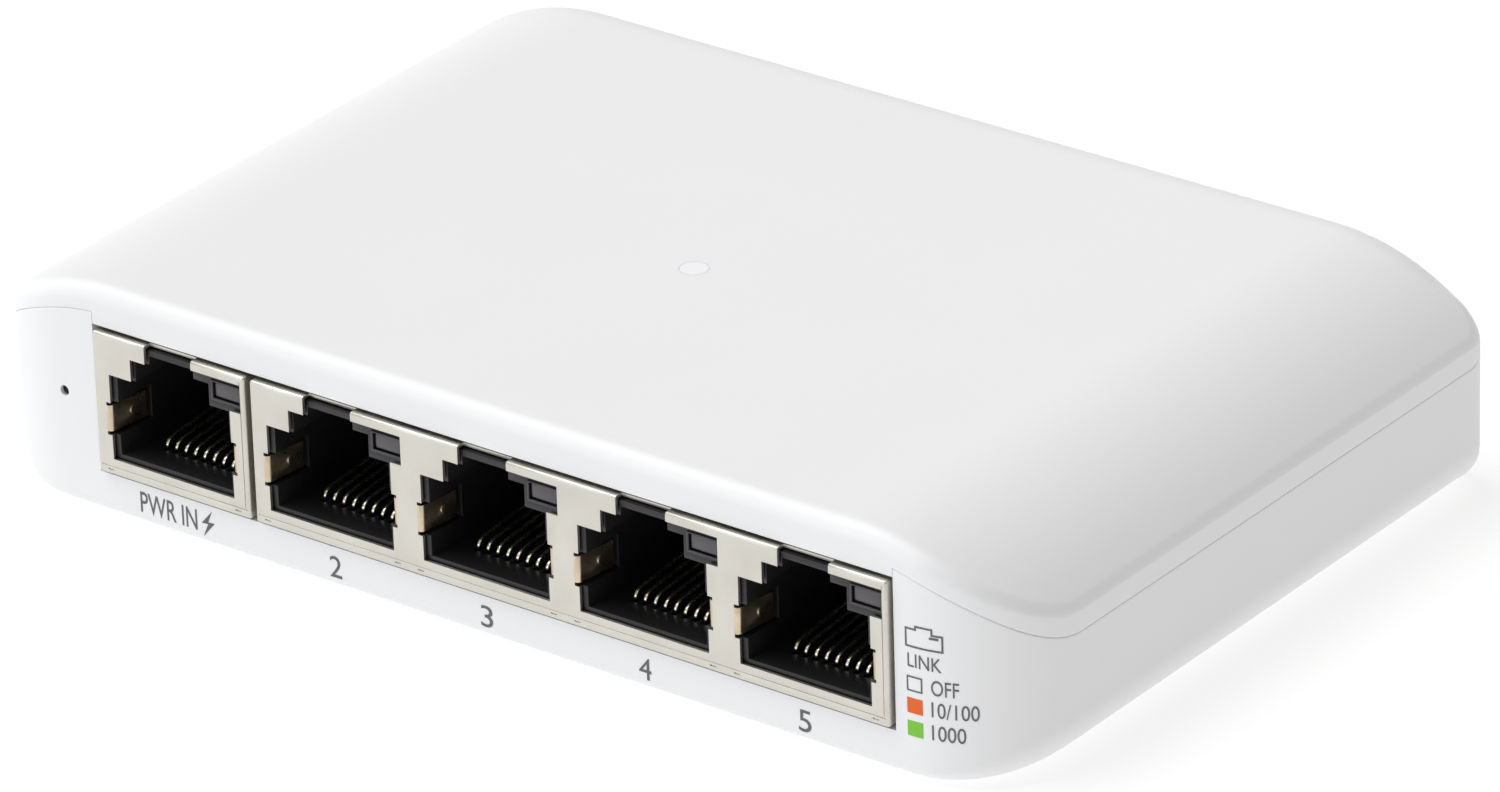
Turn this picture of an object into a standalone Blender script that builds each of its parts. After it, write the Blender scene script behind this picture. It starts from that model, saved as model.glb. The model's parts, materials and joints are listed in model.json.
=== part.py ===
"""Five-port desktop network switch, modelled piece by piece.

+X runs along the front from left to right, the ports face -Y and +Z is up. The origin is on
the surface the feet stand on, below the centre of the switch.
"""

import math

import bmesh
import bpy
from mathutils import Matrix, Vector

MM = 0.001

# Case
CASE_WIDTH = 107.16 * MM
CASE_DEPTH = 70.15 * MM
CASE_HEIGHT = 20.87 * MM
FRONT_CORNER_R = 9.8 * MM
BACK_CORNER_R = 4.5 * MM
SHOULDER_R = 20.0 * MM      # the lid's fall towards each end
SHOULDER_DROP = 6.87 * MM   # from the flat top down to the crease at each end
FRONT_EDGE_R = 1.4 * MM
BACK_EDGE_R = 5.0 * MM
SIDE_BOTTOM_R = 4.75 * MM
END_BOTTOM_R = 1.0 * MM
LEAST_INNER_R = 0.2 * MM   # an inner corner is never sharper than this
BAND = 2.3 * MM             # from the crease down to the parting line
WALL = 1.8 * MM
FLOOR = 1.2 * MM
ROOF = 1.5 * MM
SEAM_GAP = 0.2 * MM
TONGUE_T = 0.7 * MM
TONGUE_H = 0.5 * MM
FOOT_PROUD = 0.3 * MM

# Clearances
GAP = 0.3 * MM
SNUG = 0.15 * MM

# Circuit board
BOARD_T = 1.2 * MM
BOARD_LIFT = 1.5 * MM       # from the case floor to the board's underside
BOARD_SIDE_GAP = 3.2 * MM   # from the end walls in to the board
PIN_GAP = 0.2 * MM          # from the board up to whatever sits on it

# Ports
PORT_PITCH = 16.11 * MM
PORT_1_X = -31.25 * MM
GANG_X = 9.8 * MM
GANG_PORTS = 4
JACK_WIDTH = 16.3 * MM
JACK_HEIGHT = 13.0 * MM
JACK_DEPTH = 18.0 * MM
PORT_PROUD = 0.5 * MM
SHEET = 0.3 * MM
PLUG_HALF_W = 6.5 * MM      # shield window around the plug
PLUG_SILL = 1.5 * MM        # from the jack's underside up to the window
PLUG_H = 7.85 * MM
LATCH_WIDE = 4.1 * MM       # half widths and heights of the latch's two steps
LATCH_NARROW = 2.5 * MM
LATCH_STEP = 2.0 * MM
CAVITY_HALF_W = 6.0 * MM
CAVITY_LIP = 0.4 * MM       # housing edge seen inside the shield window
CAVITY_DEPTH = 14.5 * MM
LED_X = 5.95 * MM
LED_WIDTH = 2.7 * MM
LED_HEIGHT = 1.35 * MM
LED_DEPTH = 2.6 * MM
LED_DOWN = 2.15 * MM        # from the jack's top to the lens centre
LED_RECESS = 0.2 * MM
LED_MARGIN_SIDE = 0.35 * MM # shield window around the lens
LED_MARGIN_LOW = 0.6 * MM
LED_MARGIN_HIGH = 0.65 * MM
CONTACTS = 8
CONTACT_PITCH = 1.016 * MM
CONTACT_W = 0.4 * MM
CONTACT_START = 3.4 * MM    # how far behind the port's face the contacts begin
CONTACT_RISE = 1.3 * MM
CARRIER_DEPTH = 1.3 * MM
TAB_H = 2.4 * MM            # spring tabs at both sides of each window
TAB_UP = 2.5 * MM
TAB_REACH = 4.0 * MM
TAB_LEAN = 0.42 * MM

# Reset button behind its pinhole
RESET_X = -43.2 * MM
RESET_UP = 6.4 * MM         # pinhole centre above the board
PINHOLE_R = 0.45 * MM
RESET_BODY_W = 5.0 * MM
RESET_BODY_D = 4.0 * MM
RESET_BODY_ABOVE = 1.8 * MM
PLUNGER_R = 1.2 * MM
PLUNGER_TRAVEL = 0.3 * MM
PLUNGER_NOSE = 0.6 * MM     # left showing when the plunger is pressed home
PLUNGER_BORE = 2.2 * MM
RESET_BACK = 2.4 * MM       # from the case wall to the plunger's tip

# Power inlet in the back wall
USB_X = 0.0 * MM
USB_WIDTH = 8.94 * MM
USB_HEIGHT = 3.26 * MM
USB_DEPTH = 7.35 * MM
USB_TONGUE_T = 0.7 * MM
USB_TONGUE_W = 6.69 * MM
USB_END_FLAT = 0.02 * MM    # straight part left between the round ends
USB_SET_BACK = 0.5 * MM     # the shell's mouth stays this far inside the back face

# Status light in the lid
LIGHT_BEHIND = 30.925 * MM  # from the port face back to the light
LIGHT_R = 1.25 * MM
LIGHT_STEM_R = 0.9 * MM
LIGHT_COLLAR = 0.8 * MM
LED_CHIP = (1.6 * MM, 0.8 * MM, 0.6 * MM)

# Feet and screws
FOOT_R = 4.0 * MM
FOOT_T = 0.9 * MM
FOOT_FROM_SIDE = 11.58 * MM
FOOT_FROM_END = 9.075 * MM
CASE_SCREW_R = 0.9 * MM
CASE_SCREW_HEAD_R = 1.9 * MM
CASE_SCREW_HEAD_H = 0.6 * MM
CASE_SCREW_LENGTH = 7.0 * MM
CASE_BOSS_R = 3.3 * MM
POST_R = 2.4 * MM
BOARD_SCREW_X = 42.0 * MM
BOARD_SCREW_Y = -3.0 * MM
BOARD_SCREW_R = 0.8 * MM
BOARD_SCREW_HEAD_R = 1.7 * MM
BOARD_SCREW_HEAD_H = 1.0 * MM
BOARD_BOSS_R = 2.3 * MM

# Parts on the board, each as its centre's x, a distance in y and its size along x, y, z.
# The switching parts are measured back from the port face, the power parts in from the back face.
MAGNETICS_SIZE = (12.7 * MM, 6.9 * MM, 4.6 * MM)
MAGNETICS_BEHIND = 1.2 * MM
SWITCH_CHIP = (9.5 * MM, 39.8 * MM, (12.0 * MM, 12.0 * MM, 1.0 * MM))
HEAT_SINK_H = 7.0 * MM
HEAT_SINK_FINS = 7
HEAT_SINK_BASE = 1.6 * MM
HEAT_SINK_FIN_T = 0.9 * MM
FLASH_CHIP = (24.0 * MM, 39.8 * MM, (5.2 * MM, 7.8 * MM, 1.6 * MM))
CRYSTAL = (24.0 * MM, 49.8 * MM, (11.0 * MM, 4.4 * MM, 3.4 * MM))
POWER_CHIP = (-12.0 * MM, 22.3 * MM, (5.0 * MM, 5.0 * MM, 0.9 * MM))
TRANSFORMER = (-26.0 * MM, 24.3 * MM, (13.0 * MM, 15.0 * MM, 10.5 * MM))
INDUCTOR = (-10.0 * MM, 12.8 * MM, (7.0 * MM, 7.0 * MM, 4.2 * MM))
CAPACITOR_R = 4.0 * MM
CAPACITOR_H = 11.0 * MM
CAPACITORS = {
    "bulk_capacitor_left": (-40.0 * MM, 25.3 * MM),
    "bulk_capacitor_right": (12.0 * MM, 8.3 * MM),
}

# Levels and faces that follow
HALF_W = CASE_WIDTH / 2
OVERALL_DEPTH = CASE_DEPTH + PORT_PROUD
PORT_FACE = -OVERALL_DEPTH / 2
CASE_FRONT = PORT_FACE + PORT_PROUD
CASE_BACK = OVERALL_DEPTH / 2
FOOT_X = HALF_W - FOOT_FROM_SIDE
LIGHT_Y = PORT_FACE + LIGHT_BEHIND
CASE_BOTTOM = FOOT_PROUD
CASE_TOP = CASE_BOTTOM + CASE_HEIGHT
FLOOR_TOP = CASE_BOTTOM + FLOOR
BOARD_LOW = FLOOR_TOP + BOARD_LIFT
BOARD_TOP = BOARD_LOW + BOARD_T
JACK_LOW = BOARD_TOP + PIN_GAP
JACK_TOP = JACK_LOW + JACK_HEIGHT
GANG_WIDTH = (GANG_PORTS - 1) * PORT_PITCH + JACK_WIDTH
WINDOW_LOW = JACK_LOW + PLUG_SILL
WINDOW_STEP = WINDOW_LOW + PLUG_H
LATCH_TOP = WINDOW_STEP + LATCH_STEP
CAVITY_LOW = WINDOW_LOW + CAVITY_LIP
LED_Z = JACK_TOP - LED_DOWN
RESET_Z = BOARD_TOP + RESET_UP
FAR = 60 * MM               # reach of a cutter that has to pass right through

CURVE_STEPS = 10
ROUND_STEPS = 24
WELD = 0.001 * MM


def port_centres():
    """X of each port's centre, from port 1 to port 5."""
    first = GANG_X - (GANG_PORTS - 1) * PORT_PITCH / 2
    return [PORT_1_X] + [first + i * PORT_PITCH for i in range(GANG_PORTS)]


# Scene

for old in list(bpy.data.objects):
    bpy.data.objects.remove(old, do_unlink=True)

switch_parts = bpy.data.collections.new("network_switch")
cutters = bpy.data.collections.new("cutters")
bpy.context.scene.collection.children.link(switch_parts)
bpy.context.scene.collection.children.link(cutters)


def material(name, colour, roughness, metallic=0.0):
    made = bpy.data.materials.new(name)
    made.use_nodes = True
    shader = made.node_tree.nodes["Principled BSDF"]
    shader.inputs["Base Color"].default_value = (*colour, 1.0)
    shader.inputs["Roughness"].default_value = roughness
    shader.inputs["Metallic"].default_value = metallic
    return made


white_plastic = material("white_plastic", (0.86, 0.86, 0.87), 0.45)
black_plastic = material("black_plastic", (0.012, 0.012, 0.013), 0.4)
nickel_sheet = material("nickel_sheet", (0.72, 0.69, 0.62), 0.3, 1.0)
gold_contact = material("gold_contact", (0.83, 0.6, 0.25), 0.25, 1.0)
lens_plastic = material("lens_plastic", (0.55, 0.53, 0.55), 0.25)
light_plastic = material("light_plastic", (0.95, 0.95, 0.97), 0.3)
board_laminate = material("board_laminate", (0.02, 0.16, 0.07), 0.5)
chip_resin = material("chip_resin", (0.02, 0.02, 0.02), 0.55)
steel = material("steel", (0.55, 0.55, 0.56), 0.35, 1.0)
aluminium = material("aluminium", (0.75, 0.76, 0.78), 0.35, 1.0)
ferrite = material("ferrite", (0.08, 0.08, 0.085), 0.6)
rubber = material("rubber", (0.35, 0.35, 0.36), 0.8)


def place(obj, name, finish):
    """Files a finished object as a part when it has a finish, else as a cutter."""
    obj.name = name
    if finish:
        switch_parts.objects.link(obj)
        obj.data.materials.append(finish)
    else:
        cutters.objects.link(obj)
        obj.hide_render = True
        obj.display_type = "WIRE"
    return obj


def box(name, low, high, finish=None):
    low, high = Vector(low), Vector(high)
    mesh = bpy.data.meshes.new(name)
    bm = bmesh.new()
    bmesh.ops.create_cube(bm, size=1.0, matrix=Matrix.Diagonal((*(high - low), 1.0)))
    bm.to_mesh(mesh)
    bm.free()
    obj = bpy.data.objects.new(name, mesh)
    obj.location = (low + high) / 2
    return place(obj, name, finish)


def block(name, x, y, size, bottom, finish=None):
    """A box of a size, centred over x and y and standing on a level."""
    half_x, half_y = size[0] / 2, size[1] / 2
    low = (x - half_x, y - half_y, bottom)
    return box(name, low, (x + half_x, y + half_y, bottom + size[2]), finish)


def disc(name, x, y, low, high, radius, finish=None, steps=ROUND_STEPS):
    mesh = bpy.data.meshes.new(name)
    bm = bmesh.new()
    bmesh.ops.create_cone(
        bm, cap_ends=True, segments=steps, radius1=radius, radius2=radius, depth=high - low
    )
    bm.to_mesh(mesh)
    bm.free()
    mesh.shade_smooth()
    mesh.set_sharp_from_angle(angle=math.radians(40))
    obj = bpy.data.objects.new(name, mesh)
    obj.location = (x, y, (low + high) / 2)
    return place(obj, name, finish)


def rod_along_y(name, x, z, front, back, radius, finish=None, steps=ROUND_STEPS):
    rod = disc(name, 0, 0, 0, back - front, radius, finish, steps)
    rod.rotation_euler = (math.pi / 2, 0, 0)
    rod.location = (x, (front + back) / 2, z)
    return rod


def prism(name, outline, thickness, finish=None):
    """Closes a flat outline, thickens it about its plane and makes it a mesh."""
    curve = bpy.data.curves.new(name, "CURVE")
    curve.dimensions = "2D"
    curve.fill_mode = "BOTH"
    curve.extrude = thickness / 2
    spline = curve.splines.new("POLY")
    spline.points.add(len(outline) - 1)
    for point, (u, v) in zip(spline.points, outline):
        point.co = (u, v, 0, 1)
    spline.use_cyclic_u = True
    guide = bpy.data.objects.new(name + "_outline", curve)
    cutters.objects.link(guide)
    bpy.context.view_layer.update()
    mesh = bpy.data.meshes.new_from_object(guide.evaluated_get(bpy.context.evaluated_depsgraph_get()))
    bpy.data.objects.remove(guide)
    bm = bmesh.new()
    bm.from_mesh(mesh)
    bmesh.ops.remove_doubles(bm, verts=bm.verts, dist=WELD)
    bmesh.ops.recalc_face_normals(bm, faces=bm.faces)
    bm.to_mesh(mesh)
    bm.free()
    mesh.materials.clear()
    return place(bpy.data.objects.new(name, mesh), name, finish)


def facing_y(obj, y=0.0):
    """Stands a prism drawn as (x, y) up, so that its outline reads (x, z)."""
    obj.rotation_euler = (math.pi / 2, 0, 0)
    obj.location.y = y
    return obj


def facing_x(obj, x=0.0):
    """Stands a prism drawn as (x, y) up, so that its outline reads (y, z)."""
    obj.rotation_euler = (math.pi / 2, 0, math.pi / 2)
    obj.location.x = x
    return obj


def boolean(obj, other, operation):
    modifier = obj.modifiers.new(other.name, "BOOLEAN")
    modifier.operation = operation
    modifier.object = other
    modifier.solver = "EXACT"


def cut(obj, *others):
    for other in others:
        boolean(obj, other, "DIFFERENCE")
    return obj


def join(obj, *others):
    for other in others:
        boolean(obj, other, "UNION")
    return obj


def keep(obj, *others):
    for other in others:
        boolean(obj, other, "INTERSECT")
    return obj


def arc(centre, radius, start, end, steps=CURVE_STEPS):
    """Points on an arc, with the angles in degrees."""
    turns = [math.radians(start + (end - start) * i / steps) for i in range(steps + 1)]
    return [(centre[0] + radius * math.cos(a), centre[1] + radius * math.sin(a)) for a in turns]


def rounded_rectangle(left, right, low, high, low_r, high_r, steps=CURVE_STEPS):
    points = arc((right - low_r, low + low_r), low_r, -90, 0, steps)
    points += arc((right - high_r, high - high_r), high_r, 0, 90, steps)
    points += arc((left + high_r, high - high_r), high_r, 90, 180, steps)
    points += arc((left + low_r, low + low_r), low_r, 180, 270, steps)
    return points


# Case

def plan_outline(inset):
    """The case seen from above, drawn in by an inset."""
    return rounded_rectangle(
        -HALF_W + inset, HALF_W - inset, CASE_FRONT + inset, CASE_BACK - inset,
        FRONT_CORNER_R - inset, BACK_CORNER_R - inset,
    )


def shoulder_curve(inset, down=0.0):
    """The lid's top line from right to left: flat, with a long fall to each end wall."""
    radius = SHOULDER_R - inset
    centre_z = CASE_TOP - SHOULDER_R
    reach = math.sqrt(SHOULDER_R**2 - (SHOULDER_R - SHOULDER_DROP) ** 2)
    centre_x = HALF_W - reach
    wall_x = HALF_W - inset
    lowest = math.degrees(math.acos((wall_x - centre_x) / radius))
    right = arc((centre_x, centre_z - down), radius, lowest, 90, 14)
    return right + [(-x, z) for x, z in reversed(right)]


def end_profile(inset, floor, roof):
    """The case seen from the front: shoulders above and round lower edges."""
    low_r = SIDE_BOTTOM_R - inset
    low = CASE_BOTTOM + floor
    sink = max(floor - inset, 0.0)
    left_arc = arc((-HALF_W + SIDE_BOTTOM_R, low + low_r - sink), low_r, 180, 270, 8)
    right_arc = arc((HALF_W - SIDE_BOTTOM_R, low + low_r - sink), low_r, 270, 360, 8)
    return shoulder_curve(inset, roof - inset) + left_arc + right_arc


def side_profile(inset, floor, roof):
    """The case seen from its end: a tight front edge and a rounder back edge."""
    low = CASE_BOTTOM + floor
    top = CASE_TOP - roof
    low_r = max(END_BOTTOM_R - inset, LEAST_INNER_R)
    front_r = max(FRONT_EDGE_R - inset, LEAST_INNER_R)
    back_r = BACK_EDGE_R - inset
    front, back = CASE_FRONT + inset, CASE_BACK - inset
    points = arc((back - low_r, low + low_r), low_r, -90, 0, 4)
    points += arc((back - back_r, top - back_r), back_r, 0, 90, 8)
    points += arc((front + front_r, top - front_r), front_r, 90, 180, 5)
    points += arc((front + low_r, low + low_r), low_r, 180, 270, 4)
    return points


def case_form(name, inset, floor, roof, finish=None):
    """The case as one solid, drawn in by an inset, with its own floor and roof levels."""
    form = prism(name, plan_outline(inset), 2 * FAR, finish)
    end = facing_y(prism(name + "_end", end_profile(inset, floor, roof), 4 * FAR))
    side = facing_x(prism(name + "_side", side_profile(inset, floor, roof), 4 * FAR))
    return keep(form, end, side)


def seam_region(name, up, above):
    """Everything above or below the parting line, which runs a band below the lid's top line."""
    line = [(x, z - BAND + up) for x, z in shoulder_curve(0.0)]
    outer_z = line[0][1]
    limit = FAR if above else -FAR
    beyond = 2 * HALF_W
    outline = [(beyond, outer_z), *line, (-beyond, outer_z), (-beyond, limit), (beyond, limit)]
    return facing_y(prism(name, outline, 4 * FAR))


def inside_of_case(name):
    return case_form(name, WALL, FLOOR, ROOF)


SLOT_LEFT = PORT_1_X - JACK_WIDTH / 2 - GAP
SLOT_RIGHT = GANG_X + GANG_WIDTH / 2 + GAP
SLOT_LOW = JACK_LOW - GAP
SLOT_HIGH = JACK_TOP + GAP


def foot_places():
    return {
        "front_left": (-FOOT_X, CASE_FRONT + FOOT_FROM_END),
        "front_right": (FOOT_X, CASE_FRONT + FOOT_FROM_END),
        "rear_left": (-FOOT_X, CASE_BACK - FOOT_FROM_END),
        "rear_right": (FOOT_X, CASE_BACK - FOOT_FROM_END),
    }


def rear_screw_places():
    return {side: foot_places()["rear_" + side] for side in ("left", "right")}


def board_screw_places():
    return {"left": (-BOARD_SCREW_X, BOARD_SCREW_Y), "right": (BOARD_SCREW_X, BOARD_SCREW_Y)}


FOOT_RECESS_TOP = FOOT_T + GAP
SCREW_SEAT = FOOT_RECESS_TOP + CASE_SCREW_HEAD_H + 2 * SNUG
BOSS_TOP = BOARD_LOW - GAP


def make_base_case():
    base = case_form("base_case", 0.0, 0.0, 0.0, white_plastic)
    cut(base, inside_of_case("base_inside"), seam_region("base_above", -SEAM_GAP / 2, True))

    tongue = case_form("base_tongue", WALL - TONGUE_T, FLOOR, ROOF)
    cut(tongue, inside_of_case("base_tongue_inside"))
    cut(tongue, seam_region("base_tongue_above", TONGUE_H, True))
    cut(tongue, seam_region("base_tongue_below", -TONGUE_H, False))
    join(base, tongue)

    for side, (x, y) in rear_screw_places().items():
        join(base, disc(f"case_boss_{side}", x, y, FLOOR_TOP - FLOOR / 2, BOSS_TOP, CASE_BOSS_R))
    for side, (x, y) in board_screw_places().items():
        join(base, disc(f"board_boss_{side}", x, y, FLOOR_TOP - FLOOR / 2, BOSS_TOP, BOARD_BOSS_R))
    for corner, (x, y) in foot_places().items():
        cut(base, disc(f"foot_recess_{corner}", x, y, -FAR, FOOT_RECESS_TOP, FOOT_R + GAP))
    for side, (x, y) in rear_screw_places().items():
        cut(base, disc(f"case_head_{side}", x, y, -FAR, SCREW_SEAT, CASE_SCREW_HEAD_R + GAP))
        cut(base, disc(f"case_shank_{side}", x, y, -FAR, FAR, CASE_SCREW_R + GAP))
    for side, (x, y) in board_screw_places().items():
        hole_low = FLOOR_TOP - FLOOR / 3
        cut(base, disc(f"board_pilot_{side}", x, y, hole_low, FAR, BOARD_SCREW_R + GAP))

    port_slot = box("port_slot", (SLOT_LEFT, -FAR, SLOT_LOW), (SLOT_RIGHT, CASE_FRONT + 2 * WALL, FAR))
    pinhole = rod_along_y("pinhole", RESET_X, RESET_Z, -FAR, CASE_FRONT + 2 * WALL, PINHOLE_R, steps=16)
    usb_slot = usb_outline_solid("usb_slot", GAP, CASE_BACK - 2 * WALL, FAR)
    cut(base, port_slot, pinhole, usb_slot)
    return base


def make_top_cover():
    cover = case_form("top_cover", 0.0, 0.0, 0.0, white_plastic)
    cut(cover, inside_of_case("cover_inside"), seam_region("cover_below", SEAM_GAP / 2, False))

    rebate = case_form("cover_rebate", WALL - TONGUE_T - SNUG, FLOOR, ROOF)
    cut(rebate, seam_region("cover_rebate_above", TONGUE_H + GAP, True))
    cut(cover, rebate)

    apron_low = (SLOT_LEFT + GAP, CASE_FRONT, SLOT_HIGH)
    apron_high = (SLOT_RIGHT - GAP, CASE_FRONT + WALL, CASE_TOP - FRONT_EDGE_R)
    join(cover, box("port_apron", apron_low, apron_high))

    for side, (x, y) in rear_screw_places().items():
        top = CASE_TOP - ROOF / 2
        post = disc(f"lid_post_{side}", x, y, BOARD_TOP + GAP, top, POST_R)
        post_head = case_form(f"lid_post_trim_{side}", WALL / 2, FLOOR, ROOF / 2)
        join(cover, keep(post, post_head))
        pilot_top = SCREW_SEAT + CASE_SCREW_LENGTH + GAP
        cut(cover, disc(f"lid_pilot_{side}", x, y, 0, pilot_top, CASE_SCREW_R + GAP, steps=16))
    cut(cover, disc("light_hole", 0, LIGHT_Y, CASE_TOP - 3 * ROOF, FAR, LIGHT_R + SNUG, steps=32))
    return cover


def make_feet_and_screws():
    for corner, (x, y) in foot_places().items():
        disc(f"rubber_foot_{corner}", x, y, 0, FOOT_T, FOOT_R, rubber, 32)
    for side, (x, y) in rear_screw_places().items():
        head_low = SCREW_SEAT - SNUG - CASE_SCREW_HEAD_H
        head_high = SCREW_SEAT - SNUG
        screw = disc(f"case_screw_{side}", x, y, head_low, head_high, CASE_SCREW_HEAD_R, steel)
        shank = disc(f"case_thread_{side}", x, y, head_low + CASE_SCREW_HEAD_H / 2,
                     head_high + CASE_SCREW_LENGTH, CASE_SCREW_R, steps=12)
        join(screw, shank)
    for side, (x, y) in board_screw_places().items():
        seat = BOARD_TOP + SNUG
        top = seat + BOARD_SCREW_HEAD_H
        screw = disc(f"board_screw_{side}", x, y, seat, top, BOARD_SCREW_HEAD_R, steel)
        shank = disc(f"board_thread_{side}", x, y, FLOOR_TOP, seat + BOARD_SCREW_HEAD_H / 2,
                     BOARD_SCREW_R, steps=12)
        join(screw, shank)


# Circuit board

def make_board():
    half_w = HALF_W - WALL - BOARD_SIDE_GAP
    outline = rounded_rectangle(
        -half_w, half_w,
        CASE_FRONT + WALL + GAP, CASE_BACK - WALL - GAP,
        FRONT_CORNER_R - WALL, BACK_CORNER_R - WALL, 6,
    )
    board = prism("circuit_board", outline, BOARD_T, board_laminate)
    board.location.z = (BOARD_LOW + BOARD_TOP) / 2
    for side, (x, y) in rear_screw_places().items():
        cut(board, disc(f"board_post_hole_{side}", x, y, -FAR, FAR, CASE_SCREW_R + GAP, steps=16))
    for side, (x, y) in board_screw_places().items():
        cut(board, disc(f"board_screw_hole_{side}", x, y, -FAR, FAR, BOARD_SCREW_R + GAP, steps=16))
    return board


# Ports

def window_outline(x):
    """The shield's opening at one port: plug, latch steps and the light's window."""
    led_right = LED_X + LED_WIDTH / 2 + LED_MARGIN_SIDE
    led_low = LED_Z - LED_HEIGHT / 2 - LED_MARGIN_LOW
    led_high = LED_Z + LED_HEIGHT / 2 + LED_MARGIN_HIGH
    over = JACK_TOP + GAP
    outline = [
        (-PLUG_HALF_W, WINDOW_LOW), (PLUG_HALF_W, WINDOW_LOW), (PLUG_HALF_W, led_low),
        (led_right, led_low), (led_right, led_high), (LATCH_NARROW, led_high), (LATCH_NARROW, over),
        (-LATCH_NARROW, over), (-LATCH_NARROW, LATCH_TOP), (-LATCH_WIDE, LATCH_TOP),
        (-LATCH_WIDE, WINDOW_STEP), (-PLUG_HALF_W, WINDOW_STEP),
    ]
    return [(x + u, v) for u, v in outline]


def cavity_outline(x):
    """The room inside the housing: plug with two latch steps above it."""
    ceiling = WINDOW_STEP - SNUG
    step = LATCH_TOP - SNUG
    top = JACK_TOP - SHEET - 2 * SNUG - CAVITY_LIP
    outline = [
        (-CAVITY_HALF_W, CAVITY_LOW), (CAVITY_HALF_W, CAVITY_LOW), (CAVITY_HALF_W, ceiling),
        (LATCH_WIDE - SNUG, ceiling), (LATCH_WIDE - SNUG, step), (LATCH_NARROW - SNUG, step),
        (LATCH_NARROW - SNUG, top), (SNUG - LATCH_NARROW, top), (SNUG - LATCH_NARROW, step),
        (SNUG - LATCH_WIDE, step), (SNUG - LATCH_WIDE, ceiling), (-CAVITY_HALF_W, ceiling),
    ]
    return [(x + u, v) for u, v in outline]


def tab_levels():
    return WINDOW_LOW + TAB_UP, WINDOW_LOW + TAB_UP + TAB_H


def spring_tab(name, x, side):
    """A sheet tab folded in from the window's edge, leaning towards the plug."""
    low, high = tab_levels()
    front = PORT_FACE + SHEET / 2
    edge = x + side * (PLUG_HALF_W + SHEET / 2)
    tip = edge - side * TAB_LEAN
    outline = [
        (edge - SHEET / 2, front), (edge + SHEET / 2, front),
        (tip + SHEET / 2, front + TAB_REACH), (tip - SHEET / 2, front + TAB_REACH),
    ]
    tab = prism(name, outline, high - low)
    tab.location.z = (low + high) / 2
    return tab


def make_shield(name, centre, width, ports):
    """A folded sheet around the jack, open below, with a window and two tabs for each port."""
    left, right = centre - width / 2, centre + width / 2
    back = PORT_FACE + JACK_DEPTH
    shield = box(name, (left, PORT_FACE, JACK_LOW), (right, back, JACK_TOP), nickel_sheet)
    hollow = box(
        name + "_hollow",
        (left + SHEET, PORT_FACE + SHEET, JACK_LOW - GAP), (right - SHEET, back - SHEET, JACK_TOP - SHEET),
    )
    cut(shield, hollow)
    for number, x in ports.items():
        window = facing_y(prism(f"{name}_window_{number}", window_outline(x), 3 * SHEET), PORT_FACE)
        cut(shield, window)
        join(shield, spring_tab(f"{name}_tab_left_{number}", x, -1))
        join(shield, spring_tab(f"{name}_tab_right_{number}", x, 1))
    return shield


def make_housing(name, centre, width, ports):
    """The black moulding inside a shield, with each port's cavity, tab slots and light pocket."""
    clear = SHEET + SNUG
    left, right = centre - width / 2 + clear, centre + width / 2 - clear
    front, back = PORT_FACE + clear, PORT_FACE + JACK_DEPTH - clear
    housing = box(name, (left, front, JACK_LOW), (right, back, JACK_TOP - clear), black_plastic)
    tab_low, tab_high = tab_levels()
    for number, x in ports.items():
        cavity = prism(f"{name}_cavity_{number}", cavity_outline(x), 2 * CAVITY_DEPTH)
        slot_half = PLUG_HALF_W + SHEET + 2 * SNUG
        slot = box(
            f"{name}_tab_slot_{number}",
            (x - slot_half, PORT_FACE, tab_low - GAP),
            (x + slot_half, PORT_FACE + SHEET + TAB_REACH + GAP, tab_high + GAP),
        )
        half_w, half_h = LED_WIDTH / 2 + SNUG, LED_HEIGHT / 2 + SNUG
        pocket = box(
            f"{name}_light_pocket_{number}",
            (x + LED_X - half_w, PORT_FACE, LED_Z - half_h),
            (x + LED_X + half_w, PORT_FACE + clear + LED_RECESS + LED_DEPTH + GAP, LED_Z + half_h),
        )
        cut(housing, facing_y(cavity, PORT_FACE), slot, pocket)
    return housing


def make_contacts(number, x):
    """Eight spring contacts that rise towards the back, on their carrier."""
    low = CAVITY_LOW + GAP
    carrier_back = PORT_FACE + CAVITY_DEPTH - GAP
    carrier_front = carrier_back - CARRIER_DEPTH
    half = (CONTACTS * CONTACT_PITCH) / 2
    start = PORT_FACE + CONTACT_START
    carrier_top = low + CONTACT_RISE + CONTACT_W
    carrier = box(
        f"port_{number}_contacts",
        (x - half, carrier_front, low), (x + half, carrier_back, carrier_top), gold_contact,
    )
    end = (carrier_front + carrier_back) / 2
    end_low = low + CONTACT_RISE - CONTACT_W / 2
    nose = start + CONTACT_W
    outline = [
        (start, low), (nose, low), (end, end_low),
        (end, end_low + CONTACT_W), (nose, low + CONTACT_W), (start, low + CONTACT_W),
    ]
    for i in range(CONTACTS):
        place_x = x + (i - (CONTACTS - 1) / 2) * CONTACT_PITCH
        wire = prism(f"port_{number}_wire_{i}", outline, CONTACT_W)
        join(carrier, facing_x(wire, place_x))
    return carrier


def make_port_light(number, x):
    front = PORT_FACE + SHEET + LED_RECESS
    return box(
        f"port_{number}_light",
        (x + LED_X - LED_WIDTH / 2, front, LED_Z - LED_HEIGHT / 2),
        (x + LED_X + LED_WIDTH / 2, front + LED_DEPTH, LED_Z + LED_HEIGHT / 2), lens_plastic,
    )


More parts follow.
